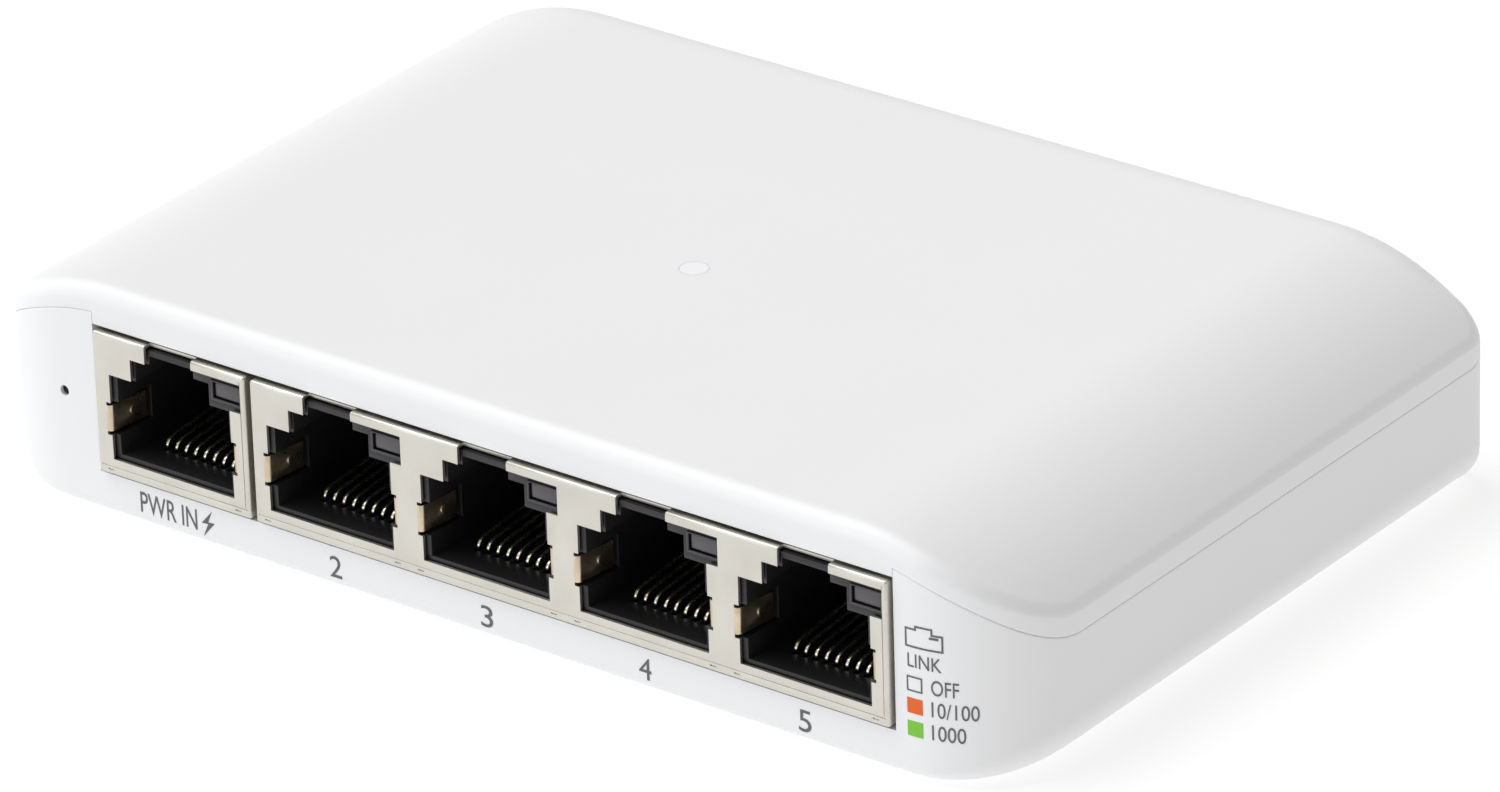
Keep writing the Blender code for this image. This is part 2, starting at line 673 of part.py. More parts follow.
def make_ports():
    centres = port_centres()
    first = {1: centres[0]}
    rest = {i + 2: x for i, x in enumerate(centres[1:])}
    make_shield("port_1_shield", PORT_1_X, JACK_WIDTH, first)
    make_housing("port_1_housing", PORT_1_X, JACK_WIDTH, first)
    make_shield("ports_2_to_5_shield", GANG_X, GANG_WIDTH, rest)
    make_housing("ports_2_to_5_housing", GANG_X, GANG_WIDTH, rest)
    behind = PORT_FACE + JACK_DEPTH + MAGNETICS_BEHIND + MAGNETICS_SIZE[1] / 2
    for number, x in {**first, **rest}.items():
        make_contacts(number, x)
        make_port_light(number, x)
        block(f"port_{number}_magnetics", x, behind, MAGNETICS_SIZE, JACK_LOW, chip_resin)


# Reset button

def make_reset():
    """A side-pushed switch whose plunger sits behind the pinhole."""
    tip = CASE_FRONT + WALL + RESET_BACK
    body_front = tip + PLUNGER_TRAVEL + GAP + PLUNGER_NOSE
    body = box(
        "reset_switch_body",
        (RESET_X - RESET_BODY_W / 2, body_front, JACK_LOW),
        (RESET_X + RESET_BODY_W / 2, body_front + RESET_BODY_D, RESET_Z + RESET_BODY_ABOVE), black_plastic,
    )
    bore_end = body_front + PLUNGER_BORE
    cut(body, rod_along_y("reset_bore", RESET_X, RESET_Z, body_front - GAP, bore_end, PLUNGER_R + SNUG))
    plunger_end = bore_end - GAP - PLUNGER_TRAVEL
    return rod_along_y("reset_plunger", RESET_X, RESET_Z, tip, plunger_end, PLUNGER_R, steel)


# Power inlet

def usb_outline_solid(name, grow, front, back, finish=None):
    half_w, half_h = USB_WIDTH / 2 + grow, USB_HEIGHT / 2 + grow
    centre_z = JACK_LOW + USB_HEIGHT / 2
    end_r = half_h - USB_END_FLAT / 2
    outline = rounded_rectangle(-half_w, half_w, -half_h, half_h, end_r, end_r, 6)
    solid = facing_y(prism(name, outline, back - front, finish), (front + back) / 2)
    solid.location.x = USB_X
    solid.location.z = centre_z
    return solid


def make_usb():
    mouth = CASE_BACK - USB_SET_BACK
    inner_end = mouth - USB_DEPTH
    centre_z = JACK_LOW + USB_HEIGHT / 2
    shell = usb_outline_solid("power_inlet_shell", 0.0, inner_end, mouth, steel)
    cut(shell, usb_outline_solid("power_inlet_room", -SHEET, inner_end + SHEET, FAR))
    box(
        "power_inlet_tongue",
        (USB_X - USB_TONGUE_W / 2, inner_end + SHEET + SNUG, centre_z - USB_TONGUE_T / 2),
        (USB_X + USB_TONGUE_W / 2, mouth - USB_DEPTH / 6, centre_z + USB_TONGUE_T / 2), black_plastic,
    )


# Status light

def make_status_light():
    led_top = JACK_LOW + LED_CHIP[2]
    collar_low = CASE_TOP - ROOF - LIGHT_COLLAR
    pipe = disc("status_light_pipe", 0, LIGHT_Y, collar_low, CASE_TOP, LIGHT_R, light_plastic, 32)
    join(pipe, disc("light_stem", 0, LIGHT_Y, led_top + GAP, CASE_TOP - ROOF, LIGHT_STEM_R, steps=20))
    block("status_led", 0, LIGHT_Y, LED_CHIP, JACK_LOW, light_plastic)


# Parts on the board

def make_heat_sink():
    x, behind, (size_x, size_y, chip_h) = SWITCH_CHIP
    y = PORT_FACE + behind
    bottom = JACK_LOW + chip_h + GAP
    sink = block("heat_sink", x, y, (size_x, size_y, HEAT_SINK_H), bottom, aluminium)
    channel = (size_x - HEAT_SINK_FINS * HEAT_SINK_FIN_T) / (HEAT_SINK_FINS - 1)
    for i in range(HEAT_SINK_FINS - 1):
        left = x - size_x / 2 + HEAT_SINK_FIN_T + i * (channel + HEAT_SINK_FIN_T)
        low = (left, y - size_y, bottom + HEAT_SINK_BASE)
        cut(sink, box(f"fin_channel_{i}", low, (left + channel, y + size_y, FAR)))


def make_board_parts():
    for name, (x, behind, size), finish in (
        ("switch_chip", SWITCH_CHIP, chip_resin),
        ("flash_chip", FLASH_CHIP, chip_resin),
        ("crystal", CRYSTAL, steel),
    ):
        block(name, x, PORT_FACE + behind, size, JACK_LOW, finish)
    for name, (x, ahead, size), finish in (
        ("power_chip", POWER_CHIP, chip_resin),
        ("power_transformer", TRANSFORMER, ferrite),
        ("power_inductor", INDUCTOR, ferrite),
    ):
        block(name, x, CASE_BACK - ahead, size, JACK_LOW, finish)
    for name, (x, ahead) in CAPACITORS.items():
        top = JACK_LOW + CAPACITOR_H
        disc(name, x, CASE_BACK - ahead, JACK_LOW, top, CAPACITOR_R, aluminium)
    make_heat_sink()


make_base_case()
make_top_cover()
make_board()
make_ports()
make_reset()
make_usb()
make_status_light()
make_board_parts()
make_feet_and_screws()
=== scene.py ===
import json
import math

import bmesh
import bpy
from mathutils import Matrix, Vector


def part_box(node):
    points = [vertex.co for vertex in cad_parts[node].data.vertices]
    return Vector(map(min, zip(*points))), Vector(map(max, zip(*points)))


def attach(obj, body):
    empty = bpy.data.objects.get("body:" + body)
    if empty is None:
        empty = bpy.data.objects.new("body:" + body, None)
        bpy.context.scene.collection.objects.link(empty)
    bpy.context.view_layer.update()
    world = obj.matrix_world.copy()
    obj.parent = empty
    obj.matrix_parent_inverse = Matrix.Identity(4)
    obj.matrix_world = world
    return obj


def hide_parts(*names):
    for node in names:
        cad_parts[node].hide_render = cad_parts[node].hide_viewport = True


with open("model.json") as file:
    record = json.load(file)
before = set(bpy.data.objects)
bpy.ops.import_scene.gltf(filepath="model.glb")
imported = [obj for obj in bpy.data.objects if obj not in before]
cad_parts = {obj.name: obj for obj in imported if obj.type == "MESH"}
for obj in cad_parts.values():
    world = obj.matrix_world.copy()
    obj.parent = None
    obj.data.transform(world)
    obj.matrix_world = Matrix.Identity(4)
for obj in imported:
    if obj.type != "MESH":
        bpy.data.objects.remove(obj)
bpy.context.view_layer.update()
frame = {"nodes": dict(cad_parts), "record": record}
bpy.ops.object.select_all(action="DESELECT")
mm = 0.001
weldReach = 0.002 * mm
print("frame loaded,", len(frame["nodes"]), "nodes")


def selectOnly(piece):
    bpy.ops.object.select_all(action="DESELECT")
    piece.select_set(True)
    bpy.context.view_layer.objects.active = piece


def named(name):
    piece = bpy.context.object
    piece.name = name
    piece.data.name = name
    return piece


def applyModifiers(piece):
    selectOnly(piece)
    for modifier in list(piece.modifiers):
        bpy.ops.object.modifier_apply(modifier=modifier.name)
    return piece


def tidyMesh(piece, smoothAngle=32):
    # doubles merged, normals out, then shaded smooth up to an angle
    selectOnly(piece)
    bpy.ops.object.mode_set(mode="EDIT")
    bpy.ops.mesh.select_all(action="SELECT")
    bpy.ops.mesh.remove_doubles(threshold=weldReach)
    bpy.ops.mesh.normals_make_consistent(inside=False)
    bpy.ops.object.mode_set(mode="OBJECT")
    bpy.ops.object.shade_smooth_by_angle(angle=math.radians(smoothAngle))
    return piece


def outlineSolid(name, corners, reach):
    # a flat outline pulled out along a vector
    bpy.ops.mesh.primitive_circle_add(vertices=len(corners), radius=mm, fill_type="NGON")
    piece = named(name)
    for vertex, corner in zip(piece.data.vertices, corners):
        vertex.co = corner
    bpy.ops.object.transform_apply(location=True, rotation=True, scale=True)
    bpy.ops.object.mode_set(mode="EDIT")
    bpy.ops.mesh.select_all(action="SELECT")
    bpy.ops.mesh.extrude_region_move(TRANSFORM_OT_translate={"value": reach})
    bpy.ops.mesh.select_all(action="SELECT")
    bpy.ops.mesh.normals_make_consistent(inside=False)
    bpy.ops.object.mode_set(mode="OBJECT")
    return piece


def boxSolid(name, low, high):
    low, high = Vector(low), Vector(high)
    bpy.ops.mesh.primitive_cube_add(size=1, location=(low + high) / 2, scale=high - low)
    piece = named(name)
    bpy.ops.object.transform_apply(location=True, rotation=True, scale=True)
    return piece


def rodSolid(name, centre, radius, length, axis="Z", sides=48):
    turn = {"X": (0, math.pi / 2, 0), "Y": (math.pi / 2, 0, 0), "Z": (0, 0, 0)}[axis]
    bpy.ops.mesh.primitive_cylinder_add(
        vertices=sides, radius=radius, depth=length, location=centre, rotation=turn
    )
    piece = named(name)
    bpy.ops.object.transform_apply(location=True, rotation=True, scale=True)
    return piece


def combine(piece, tools, operation="DIFFERENCE"):
    for tool in tools:
        modifier = piece.modifiers.new(tool.name, "BOOLEAN")
        modifier.operation = operation
        modifier.object = tool
        modifier.solver = "EXACT"
    applyModifiers(piece)
    for tool in tools:
        bpy.data.objects.remove(tool, do_unlink=True)
    return piece


def softenEdges(piece, width, segments=2, angle=40):
    modifier = piece.modifiers.new("softEdges", "BEVEL")
    modifier.width = width
    modifier.segments = segments
    modifier.limit_method = "ANGLE"
    modifier.angle_limit = math.radians(angle)
    modifier.use_clamp_overlap = True
    modifier.harden_normals = False
    return applyModifiers(piece)


def steadyNormals(piece):
    # large flat faces keep their own direction beside small rounded ones
    modifier = piece.modifiers.new("steadyNormals", "WEIGHTED_NORMAL")
    modifier.keep_sharp = True
    return applyModifiers(piece)


def joinPieces(name, parts):
    bpy.ops.object.select_all(action="DESELECT")
    for part in parts:
        part.select_set(True)
    bpy.context.view_layer.objects.active = parts[0]
    if len(parts) > 1:
        bpy.ops.object.join()
    return named(name)


def copyPiece(piece, name, shift):
    made = piece.copy()
    made.data = piece.data.copy()
    made.name = name
    made.data.name = name
    bpy.context.scene.collection.objects.link(made)
    made.data.transform(Matrix.Translation(shift))
    return made


def finish(piece, material, stands=(), body="case"):
    piece.data.materials.clear()
    piece.data.materials.append(material)
    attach(piece, body)
    if stands:
        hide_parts(*stands)
    return piece


def addNode(tree, kind, place, **settings):
    node = tree.nodes.new(kind)
    node.location = place
    for key, value in settings.items():
        setattr(node, key, value)
    return node


def newGroup(name, inputs, outputs):
    group = bpy.data.node_groups.new(name, "ShaderNodeTree")
    for label, kind, value in inputs:
        socket = group.interface.new_socket(name=label, in_out="INPUT", socket_type=kind)
        socket.default_value = value
    for label, kind in outputs:
        group.interface.new_socket(name=label, in_out="OUTPUT", socket_type=kind)
    start = addNode(group, "NodeGroupInput", (-1100, 0))
    end = addNode(group, "NodeGroupOutput", (700, 0))
    return group, start, end


def makeGrainGroup():
    # fine moulded grain with faint larger patches
    group, start, end = newGroup(
        "mouldedGrain",
        [("Tone", "NodeSocketColor", (0.8, 0.8, 0.8, 1)), ("Shade", "NodeSocketColor", (0.7, 0.7, 0.7, 1)),
         ("Patch Scale", "NodeSocketFloat", 60), ("Grain Scale", "NodeSocketFloat", 5000),
         ("Grain Depth", "NodeSocketFloat", 0.00001), ("Rough Low", "NodeSocketFloat", 0.4),
         ("Rough High", "NodeSocketFloat", 0.5)],
        [("Color", "NodeSocketColor"), ("Roughness", "NodeSocketFloat"), ("Normal", "NodeSocketVector")],
    )
    link = group.links.new
    coords = addNode(group, "ShaderNodeTexCoord", (-1100, -300))
    patches = addNode(group, "ShaderNodeTexNoise", (-800, 200))
    patches.inputs["Detail"].default_value = 3
    grain = addNode(group, "ShaderNodeTexNoise", (-800, -200))
    grain.inputs["Detail"].default_value = 2
    tint = addNode(group, "ShaderNodeMix", (-300, 200), data_type="RGBA")
    rough = addNode(group, "ShaderNodeMapRange", (-300, -50))
    bump = addNode(group, "ShaderNodeBump", (0, -300))
    bump.inputs["Strength"].default_value = 1
    link(coords.outputs["Object"], patches.inputs["Vector"])
    link(coords.outputs["Object"], grain.inputs["Vector"])
    link(start.outputs["Patch Scale"], patches.inputs["Scale"])
    link(start.outputs["Grain Scale"], grain.inputs["Scale"])
    link(patches.outputs["Fac"], tint.inputs["Factor"])
    link(start.outputs["Tone"], tint.inputs["A"])
    link(start.outputs["Shade"], tint.inputs["B"])
    link(grain.outputs["Fac"], rough.inputs["Value"])
    link(start.outputs["Rough Low"], rough.inputs["To Min"])
    link(start.outputs["Rough High"], rough.inputs["To Max"])
    link(grain.outputs["Fac"], bump.inputs["Height"])
    link(start.outputs["Grain Depth"], bump.inputs["Distance"])
    link(tint.outputs["Result"], end.inputs["Color"])
    link(rough.outputs["Result"], end.inputs["Roughness"])
    link(bump.outputs["Normal"], end.inputs["Normal"])
    return group


def makeRolledGroup():
    # rolled sheet: long faint lines along X and cloudy plating
    group, start, end = newGroup(
        "rolledSheet",
        [("Tone", "NodeSocketColor", (0.8, 0.8, 0.8, 1)), ("Shade", "NodeSocketColor", (0.6, 0.6, 0.6, 1)),
         ("Line Scale", "NodeSocketFloat", 3000), ("Cloud Scale", "NodeSocketFloat", 200),
         ("Rough Low", "NodeSocketFloat", 0.25), ("Rough High", "NodeSocketFloat", 0.45),
         ("Line Depth", "NodeSocketFloat", 0.000004)],
        [("Color", "NodeSocketColor"), ("Roughness", "NodeSocketFloat"), ("Normal", "NodeSocketVector")],
    )
    link = group.links.new
    coords = addNode(group, "ShaderNodeTexCoord", (-1100, -300))
    stretch = addNode(group, "ShaderNodeMapping", (-950, -300))
    stretch.inputs["Scale"].default_value = (0.06, 1, 1)
    lines = addNode(group, "ShaderNodeTexNoise", (-750, -300))
    lines.inputs["Detail"].default_value = 3
    clouds = addNode(group, "ShaderNodeTexNoise", (-750, 200))
    clouds.inputs["Detail"].default_value = 4
    tint = addNode(group, "ShaderNodeMix", (-300, 200), data_type="RGBA")
    both = addNode(group, "ShaderNodeMath", (-500, -50), operation="MULTIPLY_ADD")
    both.inputs[1].default_value = 0.5
    rough = addNode(group, "ShaderNodeMapRange", (-300, -50))
    rough.inputs["From Min"].default_value = 0.5
    rough.inputs["From Max"].default_value = 1.0
    bump = addNode(group, "ShaderNodeBump", (0, -300))
    link(coords.outputs["Object"], stretch.inputs["Vector"])
    link(stretch.outputs["Vector"], lines.inputs["Vector"])
    link(coords.outputs["Object"], clouds.inputs["Vector"])
    link(start.outputs["Line Scale"], lines.inputs["Scale"])
    link(start.outputs["Cloud Scale"], clouds.inputs["Scale"])
    link(clouds.outputs["Fac"], tint.inputs["Factor"])
    link(start.outputs["Tone"], tint.inputs["A"])
    link(start.outputs["Shade"], tint.inputs["B"])
    link(lines.outputs["Fac"], both.inputs[0])
    link(clouds.outputs["Fac"], both.inputs[2])
    link(both.outputs["Value"], rough.inputs["Value"])
    link(start.outputs["Rough Low"], rough.inputs["To Min"])
    link(start.outputs["Rough High"], rough.inputs["To Max"])
    link(lines.outputs["Fac"], bump.inputs["Height"])
    link(start.outputs["Line Depth"], bump.inputs["Distance"])
    link(tint.outputs["Result"], end.inputs["Color"])
    link(rough.outputs["Result"], end.inputs["Roughness"])
    link(bump.outputs["Normal"], end.inputs["Normal"])
    return group


grainGroup = makeGrainGroup()
rolledGroup = makeRolledGroup()


def newMaterial(name, group, values, metallic=0):
    material = bpy.data.materials.new(name)
    material.use_nodes = True
    tree = material.node_tree
    shader = tree.nodes["Principled BSDF"]
    pattern = addNode(tree, "ShaderNodeGroup", (-300, 200), node_tree=group)
    for label, value in values.items():
        pattern.inputs[label].default_value = (*value, 1) if isinstance(value, tuple) else value
    tree.links.new(pattern.outputs["Color"], shader.inputs["Base Color"])
    tree.links.new(pattern.outputs["Roughness"], shader.inputs["Roughness"])
    tree.links.new(pattern.outputs["Normal"], shader.inputs["Normal"])
    shader.inputs["Metallic"].default_value = metallic
    return material


def mouldedMaterial(name, tone, shade, roughLow, roughHigh, grainScale=4200, grainDepth=0.004):
    values = {
        "Tone": tone, "Shade": shade, "Rough Low": roughLow, "Rough High": roughHigh,
        "Grain Scale": grainScale, "Grain Depth": grainDepth * mm,
    }
    return newMaterial(name, grainGroup, values)


def metalMaterial(name, tone, shade, roughLow, roughHigh, lineScale=2500, cloudScale=260):
    values = {
        "Tone": tone, "Shade": shade, "Rough Low": roughLow, "Rough High": roughHigh,
        "Line Scale": lineScale, "Cloud Scale": cloudScale,
    }
    return newMaterial(name, rolledGroup, values, metallic=1)


whitePlastic = mouldedMaterial(
    "whitePolycarbonate", (0.88, 0.88, 0.885), (0.862, 0.862, 0.868), 0.42, 0.52, grainDepth=0.0016
)
blackNylon = mouldedMaterial("blackNylon", (0.008, 0.008, 0.009), (0.014, 0.014, 0.015), 0.3, 0.45)
smokyLens = mouldedMaterial(
    "smokyLens", (0.1, 0.092, 0.098), (0.075, 0.07, 0.072), 0.18, 0.3, grainDepth=0.001
)
frameGrey = mouldedMaterial("lightFrameGrey", (0.06, 0.06, 0.065), (0.03, 0.03, 0.035), 0.25, 0.4)
milkyLight = mouldedMaterial(
    "milkyLightPipe", (0.9, 0.91, 0.93), (0.86, 0.88, 0.9), 0.25, 0.32, grainDepth=0.001
)
chipResin = mouldedMaterial("chipResin", (0.02, 0.02, 0.022), (0.03, 0.03, 0.03), 0.5, 0.7)
ferriteBlack = mouldedMaterial("ferriteBlack", (0.05, 0.05, 0.055), (0.09, 0.088, 0.085), 0.5, 0.75)
footRubber = mouldedMaterial("greyFootRubber", (0.2, 0.2, 0.205), (0.16, 0.16, 0.165), 0.75, 0.9, 3000, 0.02)
greyInk = mouldedMaterial("greyInk", (0.1, 0.1, 0.105), (0.14, 0.14, 0.15), 0.5, 0.65)
orangeInk = mouldedMaterial("orangeInk", (0.84, 0.135, 0.004), (0.78, 0.11, 0.003), 0.5, 0.65)
greenInk = mouldedMaterial("greenInk", (0.22, 0.6, 0.04), (0.18, 0.53, 0.03), 0.5, 0.65)
nickelSheet = metalMaterial("nickelSheet", (0.69, 0.665, 0.61), (0.6, 0.58, 0.52), 0.34, 0.48)
springBronze = metalMaterial("springBronze", (0.78, 0.66, 0.48), (0.5, 0.42, 0.3), 0.25, 0.4, 4000, 900)
contactGold = metalMaterial("contactGold", (0.82, 0.77, 0.64), (0.74, 0.68, 0.52), 0.2, 0.32, 4000, 600)
screwSteel = metalMaterial("screwSteel", (0.6, 0.6, 0.61), (0.5, 0.5, 0.51), 0.25, 0.4)
sinkAluminium = metalMaterial("sinkAluminium", (0.8, 0.81, 0.82), (0.72, 0.73, 0.75), 0.3, 0.45)


def makeBoardMaterial():
    # solder mask over a maze of copper runs
    board = {
        "mask": (0.01, 0.13, 0.05, 1), "copper": (0.02, 0.24, 0.09, 1), "runScale": 420,
        "turn": 0.45, "turnEnd": 0.495, "roughLow": 0.3, "roughHigh": 0.45, "runHeight": 0.03 * mm,
    }
    material = bpy.data.materials.new("boardLaminate")
    material.use_nodes = True
    tree = material.node_tree
    shader = tree.nodes["Principled BSDF"]
    coords = addNode(tree, "ShaderNodeTexCoord", (-900, 0))
    runs = addNode(tree, "ShaderNodeTexVoronoi", (-700, 0), feature="F1", distance="MANHATTAN")
    runs.inputs["Scale"].default_value = board["runScale"]
    steps = addNode(tree, "ShaderNodeMapRange", (-500, 0))
    steps.inputs["From Min"].default_value = board["turn"]
    steps.inputs["From Max"].default_value = board["turnEnd"]
    tint = addNode(tree, "ShaderNodeMix", (-300, 0), data_type="RGBA")
    tint.inputs["A"].default_value = board["mask"]
    tint.inputs["B"].default_value = board["copper"]
    rough = addNode(tree, "ShaderNodeMapRange", (-300, -250))
    rough.inputs["To Min"].default_value = board["roughLow"]
    rough.inputs["To Max"].default_value = board["roughHigh"]
    bump = addNode(tree, "ShaderNodeBump", (-300, -500))
    bump.inputs["Distance"].default_value = board["runHeight"]
    tree.links.new(coords.outputs["Object"], runs.inputs["Vector"])
    tree.links.new(runs.outputs["Distance"], steps.inputs["Value"])
    tree.links.new(steps.outputs["Result"], tint.inputs["Factor"])
    tree.links.new(steps.outputs["Result"], rough.inputs["Value"])
    tree.links.new(steps.outputs["Result"], bump.inputs["Height"])
    tree.links.new(tint.outputs["Result"], shader.inputs["Base Color"])
    tree.links.new(rough.outputs["Result"], shader.inputs["Roughness"])
    tree.links.new(bump.outputs["Normal"], shader.inputs["Normal"])
    return material


boardLaminate = makeBoardMaterial()
print("materials made")

# carried-over nodes take a finish by the record's slot
slotFinishes = {
    "white_plastic": whitePlastic, "black_plastic": blackNylon, "nickel_sheet": nickelSheet,
    "gold_contact": contactGold, "lens_plastic": smokyLens, "light_plastic": milkyLight,
    "board_laminate": boardLaminate, "chip_resin": chipResin, "steel": screwSteel,
    "aluminium": sinkAluminium, "ferrite": ferriteBlack, "rubber": footRubber,
}
for part in frame["record"]["materials"]:
    for node in part.get("nodes", []):
        for place in frame["nodes"][node].material_slots:
            place.material = slotFinishes[part["slot"]]


caseLow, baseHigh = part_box("base_case")
caseHigh = Vector((baseHigh.x, baseHigh.y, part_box("top_cover")[1].z))
shieldLow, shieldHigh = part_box("port_1_shield")
portFace = shieldLow.y

case = {
    "frontCornerR": 9.8 * mm, "backCornerR": 4.5 * mm,
    "shoulderR": 20.0 * mm, "shoulderDrop": 6.87 * mm,
    "frontEdgeR": 1.4 * mm, "sideEdgeR": 0.55 * mm, "backEdgeR": 4.3 * mm,
    "sideBottomR": 4.4 * mm, "endBottomR": 1.0 * mm,
    "band": 2.3 * mm, "seamHalf": 0.012 * mm, "seamEdge": 0.07 * mm,
    "wall": 1.8 * mm, "tongueIn": 0.26 * mm, "tongueUp": 0.55 * mm,
    "rebateIn": 0.2 * mm, "rebateUp": 0.75 * mm,
    "floor": 1.2 * mm, "roof": 1.5 * mm, "leastR": 0.3 * mm, "bevelIn": 0.021 * mm,
    "slotGap": 0.3 * mm, "apronGap": 0.07 * mm, "apronStep": 0.01 * mm, "lightGap": 0.035 * mm,
    "footGap": 0.25 * mm, "inletGap": 0.25 * mm, "cutterReach": 8 * mm,
    "flatShare": 0.3, "roundSteps": 8, "wallSteps": 6,
    "cornerSteps": 22, "backSteps": 14, "acrossSteps": 72, "alongSteps": 26,
}
halfWidth = caseHigh.x
jackLow, jackHigh = shieldLow.z, shieldHigh.z
slotLeft = shieldLow.x - case["slotGap"]
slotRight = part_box("ports_2_to_5_shield")[1].x + case["slotGap"]
slotLow, slotHigh = jackLow - case["slotGap"], jackHigh + case["slotGap"]
shoulderX = halfWidth - math.sqrt(case["shoulderR"] ** 2 - (case["shoulderR"] - case["shoulderDrop"]) ** 2)
shoulderZ = caseHigh.z - case["shoulderR"]
middleY = (caseLow.y + caseHigh.y) / 2


def lidHeight(x):
    beyond = max(abs(x) - shoulderX, 0)
    return shoulderZ + math.sqrt(case["shoulderR"] ** 2 - beyond**2)


def cornerArc(centre, radius, start, end, steps):
    turns = [math.radians(start + (end - start) * i / steps) for i in range(steps + 1)]
    return [(centre[0] + radius * math.cos(a), centre[1] + radius * math.sin(a), math.cos(a), math.sin(a))
            for a in turns]


def planOutline(extraX=()):
    # x, y and outward direction round the case, from the front left corner, seen from above
    frontR, backR = case["frontCornerR"], case["backCornerR"]
    innerX, backX = halfWidth - frontR, halfWidth - backR
    frontY, backY = caseLow.y + frontR, caseHigh.y - backR
    across = [-innerX + 2 * innerX * i / case["acrossSteps"] for i in range(1, case["acrossSteps"])]
    across = sorted(across + list(extraX))
    back = [backX - 2 * backX * i / case["acrossSteps"] for i in range(1, case["acrossSteps"])]
    along = [frontY + (backY - frontY) * i / case["alongSteps"] for i in range(1, case["alongSteps"])]
    points = cornerArc((-innerX, frontY), frontR, 180, 270, case["cornerSteps"])
    points += [(x, caseLow.y, 0, -1) for x in across]
    points += cornerArc((innerX, frontY), frontR, 270, 360, case["cornerSteps"])
    points += [(halfWidth, y, 1, 0) for y in along]
    points += cornerArc((backX, backY), backR, 0, 90, case["backSteps"])
    points += [(x, caseHigh.y, 0, 1) for x in back]
    points += cornerArc((-backX, backY), backR, 90, 180, case["backSteps"])
    points += [(-halfWidth, y, -1, 0) for y in reversed(along)]
    return points


def loftRings(name, rings):
    # the first ring is a filled disc; each further ring is an extrusion of it, set on its own line
    count = len(rings[0])
    bpy.ops.mesh.primitive_circle_add(vertices=count, radius=mm, fill_type="NGON")
    piece = named(name)
    bpy.ops.object.transform_apply(location=True, rotation=True, scale=True)
    for vertex, spot in zip(piece.data.vertices, rings[0]):
        vertex.co = spot
    bpy.ops.object.mode_set(mode="EDIT")
    bpy.ops.mesh.select_all(action="SELECT")
    slots = {index: index for index in range(count)}
    for ring in rings[1:]:
        bpy.ops.mesh.extrude_region_move(TRANSFORM_OT_translate={"value": (0, 0, mm)})
        net = bmesh.from_edit_mesh(piece.data)
        net.verts.index_update()
        moved = [vertex for vertex in net.verts if vertex.select]
        grown = {}
        for vertex in moved:
            neighbours = [edge.other_vert(vertex) for edge in vertex.link_edges]
            grown[vertex.index] = slots[next(other.index for other in neighbours if not other.select)]
        slots = grown
        for vertex in moved:
            vertex.co = ring[slots[vertex.index]]
        bmesh.update_edit_mesh(piece.data)
    bpy.ops.mesh.select_all(action="SELECT")
    bpy.ops.mesh.remove_doubles(threshold=weldReach)
    bpy.ops.mesh.normals_make_consistent(inside=False)
    bpy.ops.object.mode_set(mode="OBJECT")
    return piece


def edgeRadius(across, along, front, side, back):
    # a rounding that changes smoothly from the front to the sides and to the back
    weight = along * along
    return side + weight * ((front if along < 0 else back) - side)


def towardsMiddle(point, inset, share):
    # inner rings open out again from the rounded edge, so that corner points don't bunch up
    x, y, nx, ny = point
    opened = inset * (1 - min(share / case["flatShare"], 1))
    px, py = x - nx * opened, y - ny * opened
    return (px * (1 - share), middleY + (py - middleY) * (1 - share))


# how far in from the edge each ring of the flat top is, as a share of the way to the middle
innerShares = [0.93, 0.8, 0.65, 0.5, 0.4, 0.33] + [case["flatShare"] - 0.02 * i for i in range(15)]
quarterTurns = [math.radians(90 * i / case["roundSteps"]) for i in range(case["roundSteps"] + 1)]


def upperRadius(point):
    return edgeRadius(point[2], point[3], case["frontEdgeR"], case["sideEdgeR"], case["backEdgeR"])


def roundSpot(point, turn, inset=0, roof=0):
    # a place on the upper edge's rounding, from the top (no turn) to the wall (a quarter turn)
    x, y, nx, ny = point
    radius = max(upperRadius(point) - inset, case["leastR"])
    depth = inset + radius * (1 - math.sin(turn))
    px, py = x - nx * depth, y - ny * depth
    return (px, py, lidHeight(px) - roof - radius * (1 - math.cos(turn)))


def turnAt(point, level, inset=0, roof=0):
    # how far round the edge a level is; below the rounding it is the whole quarter turn
    low, high = 0, math.pi / 2
    if roundSpot(point, high, inset, roof)[2] >= level:
        return high
    for _ in range(30):
        middle = (low + high) / 2
        if roundSpot(point, middle, inset, roof)[2] > level:
            low = middle
        else:
            high = middle
    return high


def skinInset(point, level):
    return upperRadius(point) * (1 - math.sin(turnAt(point, level)))


def topRings(outline, inset, roof, stops):
    # over the flat top, down the shoulders and round the upper edge to each point's stop level
    rings = []
    for share in innerShares:
        ring = []
        for point in outline:
            radius = max(upperRadius(point) - inset, case["leastR"])
            px, py = towardsMiddle(point, inset + radius, share)
            ring.append((px, py, lidHeight(px) - roof))
        rings.append(ring)
    ends = [turnAt(point, stop, inset, roof) for point, stop in zip(outline, stops)]
    steps = case["roundSteps"]
    for i in range(steps + 1):
        rings.append([roundSpot(point, end * i / steps, inset, roof) for point, end in zip(outline, ends)])
    return rings


